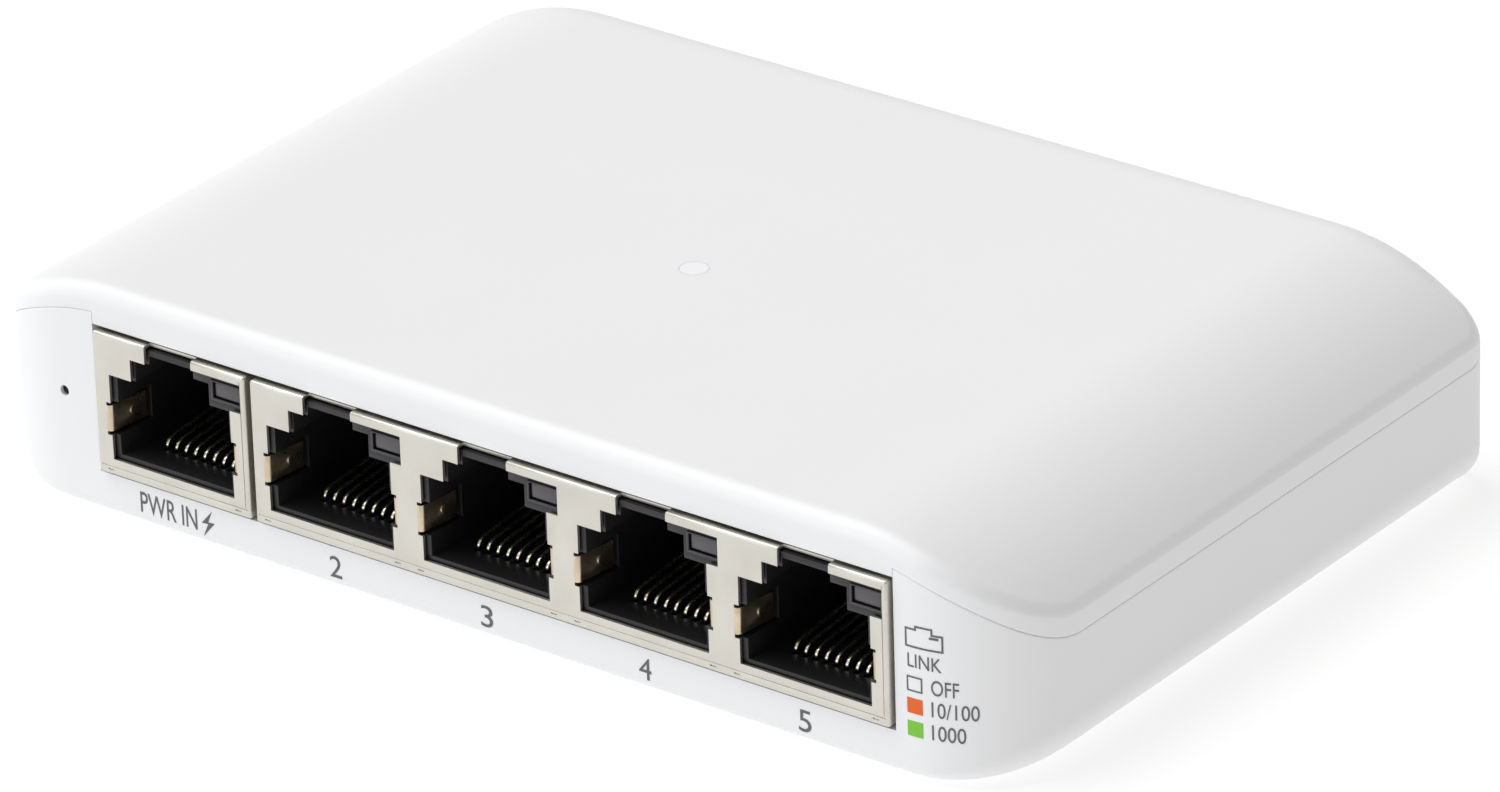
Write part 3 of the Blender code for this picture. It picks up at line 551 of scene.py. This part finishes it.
def bottomRings(outline, inset, floor):
    rings = []
    level = caseLow.z + floor
    sizes = (case["endBottomR"], case["sideBottomR"], case["endBottomR"])
    radii = [max(edgeRadius(nx, ny, *sizes) - inset, case["leastR"]) for _, _, nx, ny in outline]
    for share in (0.9, 0.5, 0.15, 0.05):
        ring = []
        for point, radius in zip(outline, radii):
            ring.append((*towardsMiddle(point, inset + radius, share), level))
        rings.append(ring)
    for turn in quarterTurns:
        ring = []
        for (x, y, nx, ny), radius in zip(outline, radii):
            depth = inset + radius * (1 - math.sin(turn))
            ring.append((x - nx * depth, y - ny * depth, level + radius * (1 - math.cos(turn))))
        rings.append(ring)
    return rings


def wallRing(outline, inset, levels, fromSkin=True):
    # a ring a little inside the outer skin, or inside the plain walls
    ring = []
    for point, z in zip(outline, levels):
        x, y, nx, ny = point
        depth = inset + (skinInset(point, z) if fromSkin else 0)
        ring.append((x - nx * depth, y - ny * depth, z))
    return ring


def seamLevels(outline, apron=False):
    levels = []
    for x, y, _, ny in outline:
        level = lidHeight(x) - case["band"]
        overPorts = ny == -1 and slotLeft + case["apronGap"] <= x <= slotRight - case["apronGap"]
        levels.append(slotHigh if apron and overPorts else level)
    return levels


def makeLid():
    # its apron comes down to the port slot; the seam's edge is a small bevel, then a rebate for the tongue
    left, right = slotLeft + case["apronGap"], slotRight - case["apronGap"]
    outline = planOutline([left - case["apronStep"], left, right, right + case["apronStep"]])
    seam = seamLevels(outline, apron=True)
    low = [z + case["seamHalf"] for z in seam]
    rebateTop = [lidHeight(x) - case["band"] + case["rebateUp"] for x, _, _, _ in outline]
    stops = [z + case["seamEdge"] for z in low]
    rings = topRings(outline, 0, 0, stops)
    rings.append(wallRing(outline, 0, stops))
    rings.append(wallRing(outline, case["bevelIn"], [z + case["bevelIn"] for z in low]))
    rings.append(wallRing(outline, case["seamEdge"], low))
    rings.append(wallRing(outline, case["rebateIn"], low))
    rings.append(wallRing(outline, case["rebateIn"], rebateTop))
    rings.append(wallRing(outline, case["wall"], rebateTop, False))
    rings += reversed(topRings(outline, case["wall"], case["roof"], rebateTop))
    lid = loftRings("top_cover_shell", rings)
    lightLow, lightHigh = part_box("status_light_pipe")
    lightCentre = (lightLow + lightHigh) / 2
    spot = (lightCentre.x, lightCentre.y, caseHigh.z)
    bore = rodSolid("lightBore", spot, lightHigh.x + case["lightGap"], case["cutterReach"])
    combine(lid, [bore])
    tidyMesh(lid)
    steadyNormals(lid)
    finish(lid, whitePlastic, ["top_cover"])
    return lid


def makeBase():
    outline = planOutline()
    seam = seamLevels(outline)
    high = [z - case["seamHalf"] for z in seam]
    tongueTop = [z + case["tongueUp"] for z in seam]
    rings = bottomRings(outline, 0, 0)
    stops = [z - case["seamEdge"] for z in high]
    starts = [min(lidHeight(point[0]) - upperRadius(point), stop - mm) for point, stop in zip(outline, stops)]
    steps = case["wallSteps"]
    for i in range(steps + 1):
        rings.append(wallRing(outline, 0, [a + (b - a) * i / steps for a, b in zip(starts, stops)]))
    rings.append(wallRing(outline, case["bevelIn"], [z - case["bevelIn"] for z in high]))
    rings.append(wallRing(outline, case["seamEdge"], high))
    rings.append(wallRing(outline, case["tongueIn"], high))
    rings.append(wallRing(outline, case["tongueIn"], tongueTop))
    rings.append(wallRing(outline, case["wall"], tongueTop, False))
    rings += reversed(bottomRings(outline, case["wall"], case["floor"]))
    base = loftRings("base_case_shell", rings)
    wallBack = caseLow.y + 2 * case["wall"]
    slot = boxSolid("portSlot", (slotLeft, portFace - mm, slotLow), (slotRight, wallBack, caseHigh.z))
    inletFront = caseHigh.y - 2 * case["wall"]
    inletSlot = inletOutline("inletSlot", case["inletGap"], inletFront, caseHigh.y + 2 * mm)
    plungerLow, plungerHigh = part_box("reset_plunger")
    plungerCentre = (plungerLow + plungerHigh) / 2
    hole = {"radius": 0.47 * mm, "lip": 0.35 * mm, "counterbore": 1.4 * mm, "sides": 32}
    reach = case["cutterReach"]
    spot = (plungerCentre.x, caseLow.y, plungerCentre.z)
    pinhole = rodSolid("pinhole", spot, hole["radius"], reach, "Y", hole["sides"])
    spot = (plungerCentre.x, caseLow.y + hole["lip"] + reach / 2, plungerCentre.z)
    relief = rodSolid("pinholeRelief", spot, hole["counterbore"], reach, "Y", hole["sides"])
    tools = [slot, pinhole, relief, inletSlot]
    for corner in footCorners:
        low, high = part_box("rubber_foot_" + corner)
        spot = ((low.x + high.x) / 2, (low.y + high.y) / 2, high.z + case["footGap"] - reach / 2)
        radius = (high.x - low.x) / 2 + case["footGap"]
        tools.append(rodSolid("footSeat", spot, radius, reach, "Z", footSides))
    combine(base, tools)
    tidyMesh(base)
    steadyNormals(base)
    finish(base, whitePlastic, ["base_case"])
    return base


def inletOutline(name, grow, front, back):
    low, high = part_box("power_inlet_shell")
    halfHeight = (high.z - low.z) / 2 + grow
    halfRun = (high.x - low.x) / 2 + grow - halfHeight
    middle = (low.z + high.z) / 2
    right = cornerArc((halfRun, 0), halfHeight, -90, 90, 14)
    left = cornerArc((-halfRun, 0), halfHeight, 90, 270, 14)
    corners = [(x, front, middle + z) for x, z, _, _ in right + left]
    return outlineSolid(name, corners, (0, back - front, 0))


footCorners = ("front_left", "front_right", "rear_left", "rear_right")
footSides = 64


def makeInlet():
    low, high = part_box("power_inlet_shell")
    inlet = {"sheet": 0.3 * mm, "lipR": 0.08 * mm, "bladeR": 0.15 * mm}
    shell = inletOutline("power_inlet_can", 0, low.y, high.y)
    room = inletOutline("inletRoom", -inlet["sheet"], low.y + inlet["sheet"], high.y + 2 * mm)
    combine(shell, [room])
    softenEdges(shell, inlet["lipR"])
    tidyMesh(shell)
    finish(shell, screwSteel, ["power_inlet_shell"])
    tongueLow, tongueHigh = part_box("power_inlet_tongue")
    tongue = boxSolid("power_inlet_blade", tongueLow, tongueHigh)
    softenEdges(tongue, inlet["bladeR"], 3)
    tidyMesh(tongue)
    finish(tongue, blackNylon, ["power_inlet_tongue"])
    pads = []
    pad = {
        "count": 12, "pitch": 0.5 * mm, "half": 0.13 * mm, "length": 2.6 * mm,
        "fromTip": 0.4 * mm, "proud": 0.02 * mm, "edge": 0.015 * mm,
    }
    padEnd = tongueHigh.y - pad["fromTip"]
    padLow, padHigh = tongueLow.z - pad["proud"], tongueHigh.z + pad["proud"]
    for i in range(pad["count"]):
        x = (i - (pad["count"] - 1) / 2) * pad["pitch"]
        pads.append(boxSolid(
            "pad", (x - pad["half"], padEnd - pad["length"], padLow), (x + pad["half"], padEnd, padHigh)
        ))
    contacts = joinPieces("power_inlet_pads", pads)
    softenEdges(contacts, pad["edge"], 1)
    tidyMesh(contacts)
    finish(contacts, contactGold)


port = {
    "sheet": 0.3 * mm, "plugHalf": 6.5 * mm, "sill": 1.5 * mm, "plugHigh": 7.85 * mm,
    "latchWide": 4.1 * mm, "latchNarrow": 2.5 * mm, "latchStep": 2.0 * mm,
    "lightLow": 9.58 * mm, "lightHigh": 12.2 * mm, "lightRight": 7.65 * mm,
    "cavityHalf": 6.0 * mm, "cavityLip": 0.4 * mm, "cavityStep": 0.15 * mm, "cavityDepth": 14.5 * mm,
    "tabUp": 2.5 * mm, "tabHigh": 2.4 * mm, "tabReach": 4.0 * mm, "tabLean": 0.42 * mm, "bendR": 0.45 * mm,
    "notch": 0.3 * mm, "wires": 8, "wirePitch": 1.016 * mm,
}
portPlaces = {}
for number in range(1, 6):
    wiresLow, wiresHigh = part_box(f"port_{number}_contacts")
    portPlaces[number] = (wiresLow.x + wiresHigh.x) / 2
sillZ = jackLow + port["sill"]
stepZ = sillZ + port["plugHigh"]
latchZ = stepZ + port["latchStep"]
tabLow = sillZ + port["tabUp"]
tabTop = tabLow + port["tabHigh"]


def windowSolid(x):
    # the plug's opening with its latch steps on the left and the light's notch on the right
    over = jackHigh + mm
    half, wide, narrow, right = port["plugHalf"], port["latchWide"], port["latchNarrow"], port["lightRight"]
    lightLow, lightHigh = jackLow + port["lightLow"], jackLow + port["lightHigh"]
    corners = [
        (-half, sillZ), (half, sillZ), (half, lightLow), (right, lightLow), (right, lightHigh),
        (narrow, lightHigh), (narrow, over), (-narrow, over), (-narrow, latchZ), (-wide, latchZ),
        (-wide, stepZ), (-half, stepZ),
    ]
    front = portFace - mm
    return outlineSolid("window", [(x + u, front, v) for u, v in corners], (0, mm + 3 * port["sheet"], 0))


def makeShield(cadName, name, places):
    # a folded can with no underside; grooves on its face mark the folds
    low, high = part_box(cadName)
    sheet = port["sheet"]
    can = {"bendR": 0.22 * mm, "edge": 0.035 * mm, "notchGap": 0.03 * mm}
    slit = {"out": 0.35 * mm, "half": 0.3 * mm, "low": 0.42 * mm, "high": 0.56 * mm, "deep": 0.12 * mm}
    groove = {"low": 0.75 * mm, "side": 0.42 * mm, "wide": 0.09 * mm, "deep": 0.06 * mm, "topEnd": 0.5 * mm}
    shield = boxSolid(name, low, high)
    hollow = boxSolid(
        "hollow", (low.x + sheet, low.y + sheet, low.z - mm), (high.x - sheet, high.y - sheet, high.z - sheet)
    )
    softenEdges(shield, can["bendR"], 3)
    tools = [hollow]
    for x in places:
        tools.append(windowSolid(x))
        notchOut = port["plugHalf"] + port["bendR"] + can["notchGap"]
        tools.append(boxSolid(
            "tabNotch", (x - notchOut, portFace - mm, tabLow - port["notch"]),
            (x + notchOut, portFace + 3 * sheet, tabTop + port["notch"]),
        ))
        for side in (-1, 1):
            slitX = x + side * (port["plugHalf"] + slit["out"])
            tools.append(boxSolid(
                "cornerSlit", (slitX - slit["half"], portFace - mm, low.z + slit["low"]),
                (slitX + slit["half"], portFace + slit["deep"], low.z + slit["high"]),
            ))
    grooveBack = portFace + groove["deep"]
    tools.append(boxSolid(
        "foldLine", (low.x + sheet, portFace - mm, low.z + groove["low"]),
        (high.x - sheet, grooveBack, low.z + groove["low"] + groove["wide"]),
    ))
    tools.append(boxSolid(
        "sideFold", (high.x - groove["side"] - groove["wide"], portFace - mm, low.z + mm),
        (high.x - groove["side"], grooveBack, high.z - groove["topEnd"]),
    ))
    combine(shield, tools)
    softenEdges(shield, can["edge"], 2, 50)
    tidyMesh(shield, 40)
    finish(shield, nickelSheet, [cadName])
    return shield


def makeSpringTab(name, x, side):
    # folded in from the window's edge, then leaning towards the plug
    sheet, bend = port["sheet"], port["bendR"]
    tab = {"root": 0.2 * mm, "setBack": 0.004 * mm, "edge": 0.04 * mm}
    dimple = {"in": 0.1 * mm, "back": 2.6 * mm, "radius": 0.45 * mm, "length": 0.5 * mm, "sides": 24}
    bendX, bendY = port["plugHalf"] + bend, portFace + bend
    outer = [(bendX - bend * math.sin(a), bendY - bend * math.cos(a)) for a in quarterTurns]
    inside = bend - sheet
    inner = [(bendX - inside * math.sin(a), bendY - inside * math.cos(a)) for a in quarterTurns]
    reach = port["tabReach"] - bend
    tip = [(end[-1][0] - port["tabLean"], end[-1][1] + reach) for end in (outer, inner)]
    rootX = bendX + tab["root"]
    rim = [(rootX, portFace), *outer, *tip, *reversed(inner), (rootX, portFace + sheet)]
    corners = [(x + side * u, v + tab["setBack"], tabLow) for u, v in rim]
    blade = outlineSolid(name, corners, (0, 0, port["tabHigh"]))
    spot = (x + side * (port["plugHalf"] - dimple["in"]), portFace + dimple["back"], (tabLow + tabTop) / 2)
    bump = rodSolid("dimple", spot, dimple["radius"], dimple["length"], "X", dimple["sides"])
    combine(blade, [bump], "UNION")
    softenEdges(blade, tab["edge"], 2, 50)
    return blade


def makeTabs():
    pair = joinPieces("port_1_spring_tabs", [makeSpringTab("tab", portPlaces[1], side) for side in (-1, 1)])
    tidyMesh(pair, 40)
    for number, x in portPlaces.items():
        if number > 1:
            tabs = copyPiece(pair, f"port_{number}_spring_tabs", (x - portPlaces[1], 0, 0))
            finish(tabs, springBronze)
    finish(pair, springBronze)


def cavitySolid(x):
    # the plug's room in the housing, a lip smaller than the shield's window
    lip = port["cavityStep"]
    top = jackHigh - 2 * port["sheet"] - port["cavityLip"]
    low = sillZ + port["cavityLip"]
    wide, narrow, half = port["latchWide"] - lip, port["latchNarrow"] - lip, port["cavityHalf"]
    corners = [
        (-half, low), (half, low), (half, stepZ - lip), (wide, stepZ - lip), (wide, latchZ - lip),
        (narrow, latchZ - lip), (narrow, top), (-narrow, top), (-narrow, latchZ - lip), (-wide, latchZ - lip),
        (-wide, stepZ - lip), (-half, stepZ - lip),
    ]
    front = portFace - mm
    return outlineSolid("cavity", [(x + u, front, v) for u, v in corners], (0, mm + port["cavityDepth"], 0))


def makeHousing(cadName, name, places):
    low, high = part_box(cadName)
    housing = boxSolid(name, low, high)
    insert = {"outerR": 0.1 * mm, "innerR": 0.05 * mm, "lensGap": 0.12 * mm}
    comb = {"half": 0.275 * mm, "front": 3.1 * mm, "back": 13.9 * mm, "depth": 0.5 * mm}
    softenEdges(housing, insert["outerR"])
    floor = sillZ + port["cavityLip"]
    gap = insert["lensGap"]
    tools = []
    for x in places:
        tools.append(cavitySolid(x))
        slotHalf = port["plugHalf"] + 2 * port["sheet"]
        tools.append(boxSolid(
            "tabRoom", (x - slotHalf, portFace - mm, tabLow - port["notch"]),
            (x + slotHalf, portFace + port["tabReach"] + 2 * port["sheet"], tabTop + port["notch"]),
        ))
        lensLow, lensHigh = lensBox(x)
        tools.append(boxSolid(
            "lensRoom", (lensLow.x - gap, portFace - mm, lensLow.z - gap),
            (lensHigh.x + gap, lensHigh.y + gap, lensHigh.z + gap),
        ))
        for i in range(port["wires"]):
            wireX = x + (i - (port["wires"] - 1) / 2) * port["wirePitch"]
            tools.append(boxSolid(
                "combSlot", (wireX - comb["half"], portFace + comb["front"], floor - comb["depth"]),
                (wireX + comb["half"], portFace + comb["back"], floor + mm),
            ))
    combine(housing, tools)
    softenEdges(housing, insert["innerR"], 2, 50)
    tidyMesh(housing, 40)
    finish(housing, blackNylon, [cadName])
    return housing


def lensBox(x):
    low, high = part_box("port_1_light")
    shift = Vector((x - portPlaces[1], 0, 0))
    return low + shift, high + shift


def makePortLights():
    # each lens sits in a thin grey frame, wider on its left and lower sides
    low, high = lensBox(portPlaces[1])
    light = {"lensR": 0.16 * mm, "wide": 0.3 * mm, "thin": 0.2 * mm, "proud": 0.16 * mm, "edge": 0.05 * mm}
    gap = {"around": 0.08 * mm, "right": 0.04 * mm}
    lens = boxSolid("port_1_lens", low, high)
    softenEdges(lens, light["lensR"], 3)
    tidyMesh(lens, 50)
    frontY = portFace + port["sheet"]
    surround = boxSolid(
        "port_1_light_frame", (low.x - light["wide"], frontY, low.z - light["wide"]),
        (high.x + light["thin"], frontY + light["proud"], high.z + light["thin"]),
    )
    opening = boxSolid(
        "opening", (low.x - gap["around"], frontY - mm, low.z - gap["around"]),
        (high.x + gap["right"], frontY + mm, high.z + gap["around"]),
    )
    combine(surround, [opening])
    softenEdges(surround, light["edge"], 2)
    tidyMesh(surround, 50)
    for number, x in portPlaces.items():
        if number > 1:
            shift = (x - portPlaces[1], 0, 0)
            other = copyPiece(lens, f"port_{number}_lens", shift)
            finish(other, smokyLens, [f"port_{number}_light"])
            otherFrame = copyPiece(surround, f"port_{number}_light_frame", shift)
            finish(otherFrame, frameGrey)
    finish(lens, smokyLens, ["port_1_light"])
    finish(surround, frameGrey)


def makeContacts():
    # one spring wire: a hooked nose near the mouth, a long ramp up to the back
    wire = {"width": 0.3 * mm, "thick": 0.26 * mm, "edge": 0.06 * mm, "carrier": 1.2 * mm}
    low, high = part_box("port_1_contacts")
    # how far behind the port's face, and how high, in millimetres
    path = [(3.4, -0.2), (3.66, 0.16), (4.1, 0.4), (8.5, 0.88), (12.5, 1.4), (13.9, 1.45)]
    lower = [(portFace + d * mm, low.z + h * mm) for d, h in path]
    upper = [(y, z + wire["thick"]) for y, z in reversed(lower)]
    x = portPlaces[1] - (port["wires"] - 1) / 2 * port["wirePitch"] - wire["width"] / 2
    first = outlineSolid("wire", [(x, y, z) for y, z in lower + upper], (wire["width"], 0, 0))
    softenEdges(first, wire["edge"], 2, 30)
    wires = [first]
    for i in range(1, port["wires"]):
        wires.append(copyPiece(first, "wire", (i * port["wirePitch"], 0, 0)))
    carrier = boxSolid("carrier", (low.x, high.y - wire["carrier"], low.z), high)
    contacts = joinPieces("port_1_contact_wires", wires + [carrier])
    tidyMesh(contacts, 40)
    for number, x in portPlaces.items():
        if number > 1:
            others = copyPiece(contacts, f"port_{number}_contact_wires", (x - portPlaces[1], 0, 0))
            finish(others, contactGold, [f"port_{number}_contacts"])
    finish(contacts, contactGold, ["port_1_contacts"])


ink = {"proud": 0.03 * mm, "thick": 0.02 * mm, "bendStep": 0.35 * mm, "letterDepth": 0.01}


def ontoFront(piece):
    # marks past the flat front follow the rounded corner
    flatEnd = halfWidth - case["frontCornerR"]
    centreY = caseLow.y + case["frontCornerR"]
    furthest = max(vertex.co.x for vertex in piece.data.vertices)
    selectOnly(piece)
    bpy.ops.object.mode_set(mode="EDIT")
    for step in range(int((furthest - flatEnd) / ink["bendStep"]) + 1):
        bpy.ops.mesh.select_all(action="SELECT")
        place = (flatEnd + step * ink["bendStep"], 0, 0)
        bpy.ops.mesh.bisect(plane_co=place, plane_no=(1, 0, 0))
    bpy.ops.object.mode_set(mode="OBJECT")
    for vertex in piece.data.vertices:
        run = vertex.co.x - flatEnd
        if run > 0:
            radius = case["frontCornerR"] + caseLow.y - vertex.co.y
            turn = run / case["frontCornerR"]
            vertex.co.x = flatEnd + radius * math.sin(turn)
            vertex.co.y = centreY - radius * math.cos(turn)
    return piece


def printText(words, left, right, middle, height):
    # letters scaled to their place on the front, with their depth turned into the ink's thickness
    depth = ink["letterDepth"]
    bpy.ops.object.text_add()
    text = bpy.context.object
    text.data.body = words
    text.data.extrude = depth
    bpy.ops.object.convert(target="MESH")
    text = named("letters")
    xs = [v.co.x for v in text.data.vertices]
    ys = [v.co.y for v in text.data.vertices]
    wide = (right - left) / (max(xs) - min(xs))
    tall = height / (max(ys) - min(ys))
    for vertex in text.data.vertices:
        x, y, z = vertex.co
        vertex.co = (
            left + (x - min(xs)) * wide,
            caseLow.y - ink["proud"] + (depth - z) / (2 * depth) * ink["thick"],
            middle - height / 2 + (y - min(ys)) * tall,
        )
    return text


def printShape(corners):
    # corners in millimetres: x from the case's middle and z from the surface below
    y = caseLow.y - ink["proud"]
    return outlineSolid("mark", [(u * mm, y, v * mm) for u, v in corners], (0, ink["thick"], 0))


def printOutline(corners, inner):
    shape = printShape(corners)
    y = caseLow.y - mm
    hole = outlineSolid("hole", [(u * mm, y, v * mm) for u, v in inner], (0, 2 * mm, 0))
    return combine(shape, [hole])


def rectangle(left, right, low, high):
    return [(left, low), (right, low), (right, high), (left, high)]


def jackOutline(line):
    # a jack seen from the front, with its stepped latch on top, drawn a line's width inside its own edge
    left, right, low = 43.5 + line, 46.9 - line, 12.05 + line
    leftTop, rightTop, latchTop = 13.75 - line, 13.55 - line, 14.05 - line
    latchLeft, latchRight = 44.4 + line, 46.0 - line
    return [
        (left, low), (right, low), (right, rightTop), (latchRight, rightTop), (latchRight, latchTop),
        (latchLeft, latchTop), (latchLeft, leftTop), (left, leftTop),
    ]


def makeLegend():
    digit = {"half": 0.62, "middle": 2.25, "height": 1.95}
    power = {"left": -35.5, "right": -29.4, "middle": 2.4, "height": 1.9}
    key = {"left": 43.58, "right": 45.02, "height": 1.36, "line": 0.13, "textLeft": 45.8, "textHeight": 1.35}
    marks = []
    for word, x in (("2", -14.6), ("3", 1.2), ("4", 17.4), ("5", 33.4)):
        left, right = x - digit["half"], x + digit["half"]
        marks.append(printText(word, left * mm, right * mm, digit["middle"] * mm, digit["height"] * mm))
    marks.append(printText(
        "PWR IN", power["left"] * mm, power["right"] * mm, power["middle"] * mm, power["height"] * mm
    ))
    bolt = [(-27.75, 3.6), (-28.9, 2.3), (-28.2, 2.35), (-28.75, 1.1), (-27.5, 2.55), (-28.2, 2.5)]
    marks.append(printShape(bolt))
    marks.append(printOutline(jackOutline(0), jackOutline(0.155)))
    marks.append(printShape(rectangle(45.7, 46.5, 13.1, 13.3)))
    marks.append(printText("LINK", 43.7 * mm, 46.7 * mm, 10.9 * mm, 1.2 * mm))
    line = key["line"]
    off = (key["left"], key["right"], 8.12, 8.12 + key["height"])
    offInner = (off[0] + line, off[1] - line, off[2] + line, off[3] - line)
    marks.append(printOutline(rectangle(*off), rectangle(*offInner)))
    for words, middle, right in (("OFF", 8.85, 48.1), ("10/100", 6.9, 49.7), ("1000", 4.85, 48.6)):
        marks.append(printText(words, key["textLeft"] * mm, right * mm, middle * mm, key["textHeight"] * mm))
    legend = joinPieces("front_legend", marks)
    ontoFront(legend)
    tidyMesh(legend, 20)
    finish(legend, greyInk)
    for colour, low, material in (("orange", 6.17, orangeInk), ("green", 4.12, greenInk)):
        square = printShape(rectangle(key["left"], key["right"], low, low + key["height"]))
        square.name = f"legend_{colour}_square"
        ontoFront(square)
        tidyMesh(square, 20)
        finish(square, material)


def makeFeet():
    # one round pad with a shallow dish in its underside, then three copies
    pad = {"rim": 0.7 * mm, "dish": 0.12 * mm, "edgeR": 0.12 * mm, "downwards": -0.9}
    low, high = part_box("rubber_foot_front_left")
    centre = (low + high) / 2
    foot = rodSolid("foot_pad_front_left", centre, (high.x - low.x) / 2, high.z - low.z, "Z", footSides)
    bpy.ops.object.mode_set(mode="EDIT")
    bpy.ops.mesh.select_mode(type="FACE")
    bpy.ops.mesh.select_all(action="DESELECT")
    net = bmesh.from_edit_mesh(foot.data)
    for face in net.faces:
        face.select = face.normal.z < pad["downwards"]
    bmesh.update_edit_mesh(foot.data)
    bpy.ops.mesh.inset(thickness=pad["rim"])
    bpy.ops.mesh.inset(thickness=pad["dish"], depth=-pad["dish"])
    bpy.ops.object.mode_set(mode="OBJECT")
    softenEdges(foot, pad["edgeR"], 3, 50)
    tidyMesh(foot, 40)
    for corner in footCorners[1:]:
        otherLow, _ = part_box("rubber_foot_" + corner)
        other = copyPiece(foot, "foot_pad_" + corner, otherLow - low)
        finish(other, footRubber, ["rubber_foot_" + corner])
    finish(foot, footRubber, ["rubber_foot_front_left"])


makeLid()
print("lid made")
makeBase()
print("base made")
gangPlaces = [portPlaces[n] for n in range(2, 6)]
makeShield("port_1_shield", "port_1_shield_can", [portPlaces[1]])
makeShield("ports_2_to_5_shield", "ports_2_to_5_shield_can", gangPlaces)
makeTabs()
print("shields made")
makeHousing("port_1_housing", "port_1_insert", [portPlaces[1]])
makeHousing("ports_2_to_5_housing", "ports_2_to_5_insert", gangPlaces)
makePortLights()
makeContacts()
print("port inserts made")
makeInlet()
makeLegend()
makeFeet()
print("inlet, legend and feet made")


def makeStudio():
    # a pale floor that is partly lit of itself, so that shadows stay faint, and two wide soft suns
    studio = {
        "floorSize": 6.0, "floorLow": 0.05 * mm, "paint": (0.34, 0.34, 0.34, 1),
        "patch": (0.36, 0.36, 0.36, 1), "patchScale": 3, "rough": 0.9, "glow": 0.7,
        "ambient": 0.36, "ambientColour": (1, 0.985, 0.97, 1),
    }
    bpy.ops.mesh.primitive_plane_add(size=studio["floorSize"], location=(0, 0, -studio["floorLow"]))
    floor = named("studio_floor")
    bpy.ops.object.transform_apply(location=True, rotation=True, scale=True)
    material = bpy.data.materials.new("paleFloor")
    material.use_nodes = True
    tree = material.node_tree
    shader = tree.nodes["Principled BSDF"]
    coords = addNode(tree, "ShaderNodeTexCoord", (-700, 0))
    noise = addNode(tree, "ShaderNodeTexNoise", (-500, 0))
    noise.inputs["Scale"].default_value = studio["patchScale"]
    tint = addNode(tree, "ShaderNodeMix", (-250, 0), data_type="RGBA")
    tint.inputs["A"].default_value = studio["paint"]
    tint.inputs["B"].default_value = studio["patch"]
    tree.links.new(coords.outputs["Object"], noise.inputs["Vector"])
    tree.links.new(noise.outputs["Fac"], tint.inputs["Factor"])
    tree.links.new(tint.outputs["Result"], shader.inputs["Base Color"])
    shader.inputs["Roughness"].default_value = studio["rough"]
    shader.inputs["Emission Color"].default_value = (1, 1, 1, 1)
    shader.inputs["Emission Strength"].default_value = studio["glow"]
    floor.data.materials.append(material)

    world = bpy.data.worlds.new("softWhiteRoom")
    bpy.context.scene.world = world
    world.use_nodes = True
    sky = world.node_tree.nodes["Background"]
    sky.inputs["Color"].default_value = studio["ambientColour"]
    sky.inputs["Strength"].default_value = studio["ambient"]

    for name, towards, strength, colour, spread in (
        ("topLight", (-0.42, -0.12, 0.9), 2.1, (1, 1, 1), 50),
        ("frontLight", (-0.45, -0.88, 0.25), 0.66, (0.86, 0.92, 1), 40),
    ):
        bpy.ops.object.light_add(type="SUN")
        lamp = bpy.context.object
        lamp.name = name
        lamp.data.energy = strength
        lamp.data.color = colour
        lamp.data.angle = math.radians(spread)
        lamp.rotation_euler = Vector(towards).to_track_quat("Z", "Y").to_euler()
    bpy.context.scene.view_settings.view_transform = "Standard"


def makeCamera():
    view = {
        "azimuth": 0.65704, "elevation": 0.45929, "roll": -0.03106, "distance": 831.95 * mm,
        "lens": 239.19, "aim": Vector((0, 0.25, 10.3)) * mm, "across": 1.5257 * mm, "up": -2.5435 * mm,
        "sensor": 36, "clip": 0.05,
    }
    azimuth, elevation = view["azimuth"], view["elevation"]
    back = Vector((
        math.sin(azimuth) * math.cos(elevation), -math.cos(azimuth) * math.cos(elevation), math.sin(elevation)
    ))
    right = Vector((0, 0, 1)).cross(back).normalized()
    up = back.cross(right)
    rollCos, rollSin = math.cos(view["roll"]), math.sin(view["roll"])
    turnedRight = right * rollCos + up * rollSin
    turnedUp = up * rollCos - right * rollSin
    target = view["aim"] + turnedRight * view["across"] + turnedUp * view["up"]
    place = Matrix((turnedRight, turnedUp, back)).transposed().to_4x4()
    place.translation = target + back * view["distance"]
    bpy.ops.object.camera_add()
    camera = bpy.context.object
    camera.name = "switchCamera"
    camera.matrix_world = place
    camera.data.lens = view["lens"]
    camera.data.sensor_width = view["sensor"]
    camera.data.clip_start = view["clip"]
    bpy.context.scene.camera = camera


makeStudio()
makeCamera()
print("studio ready")

bpy.context.view_layer.update()
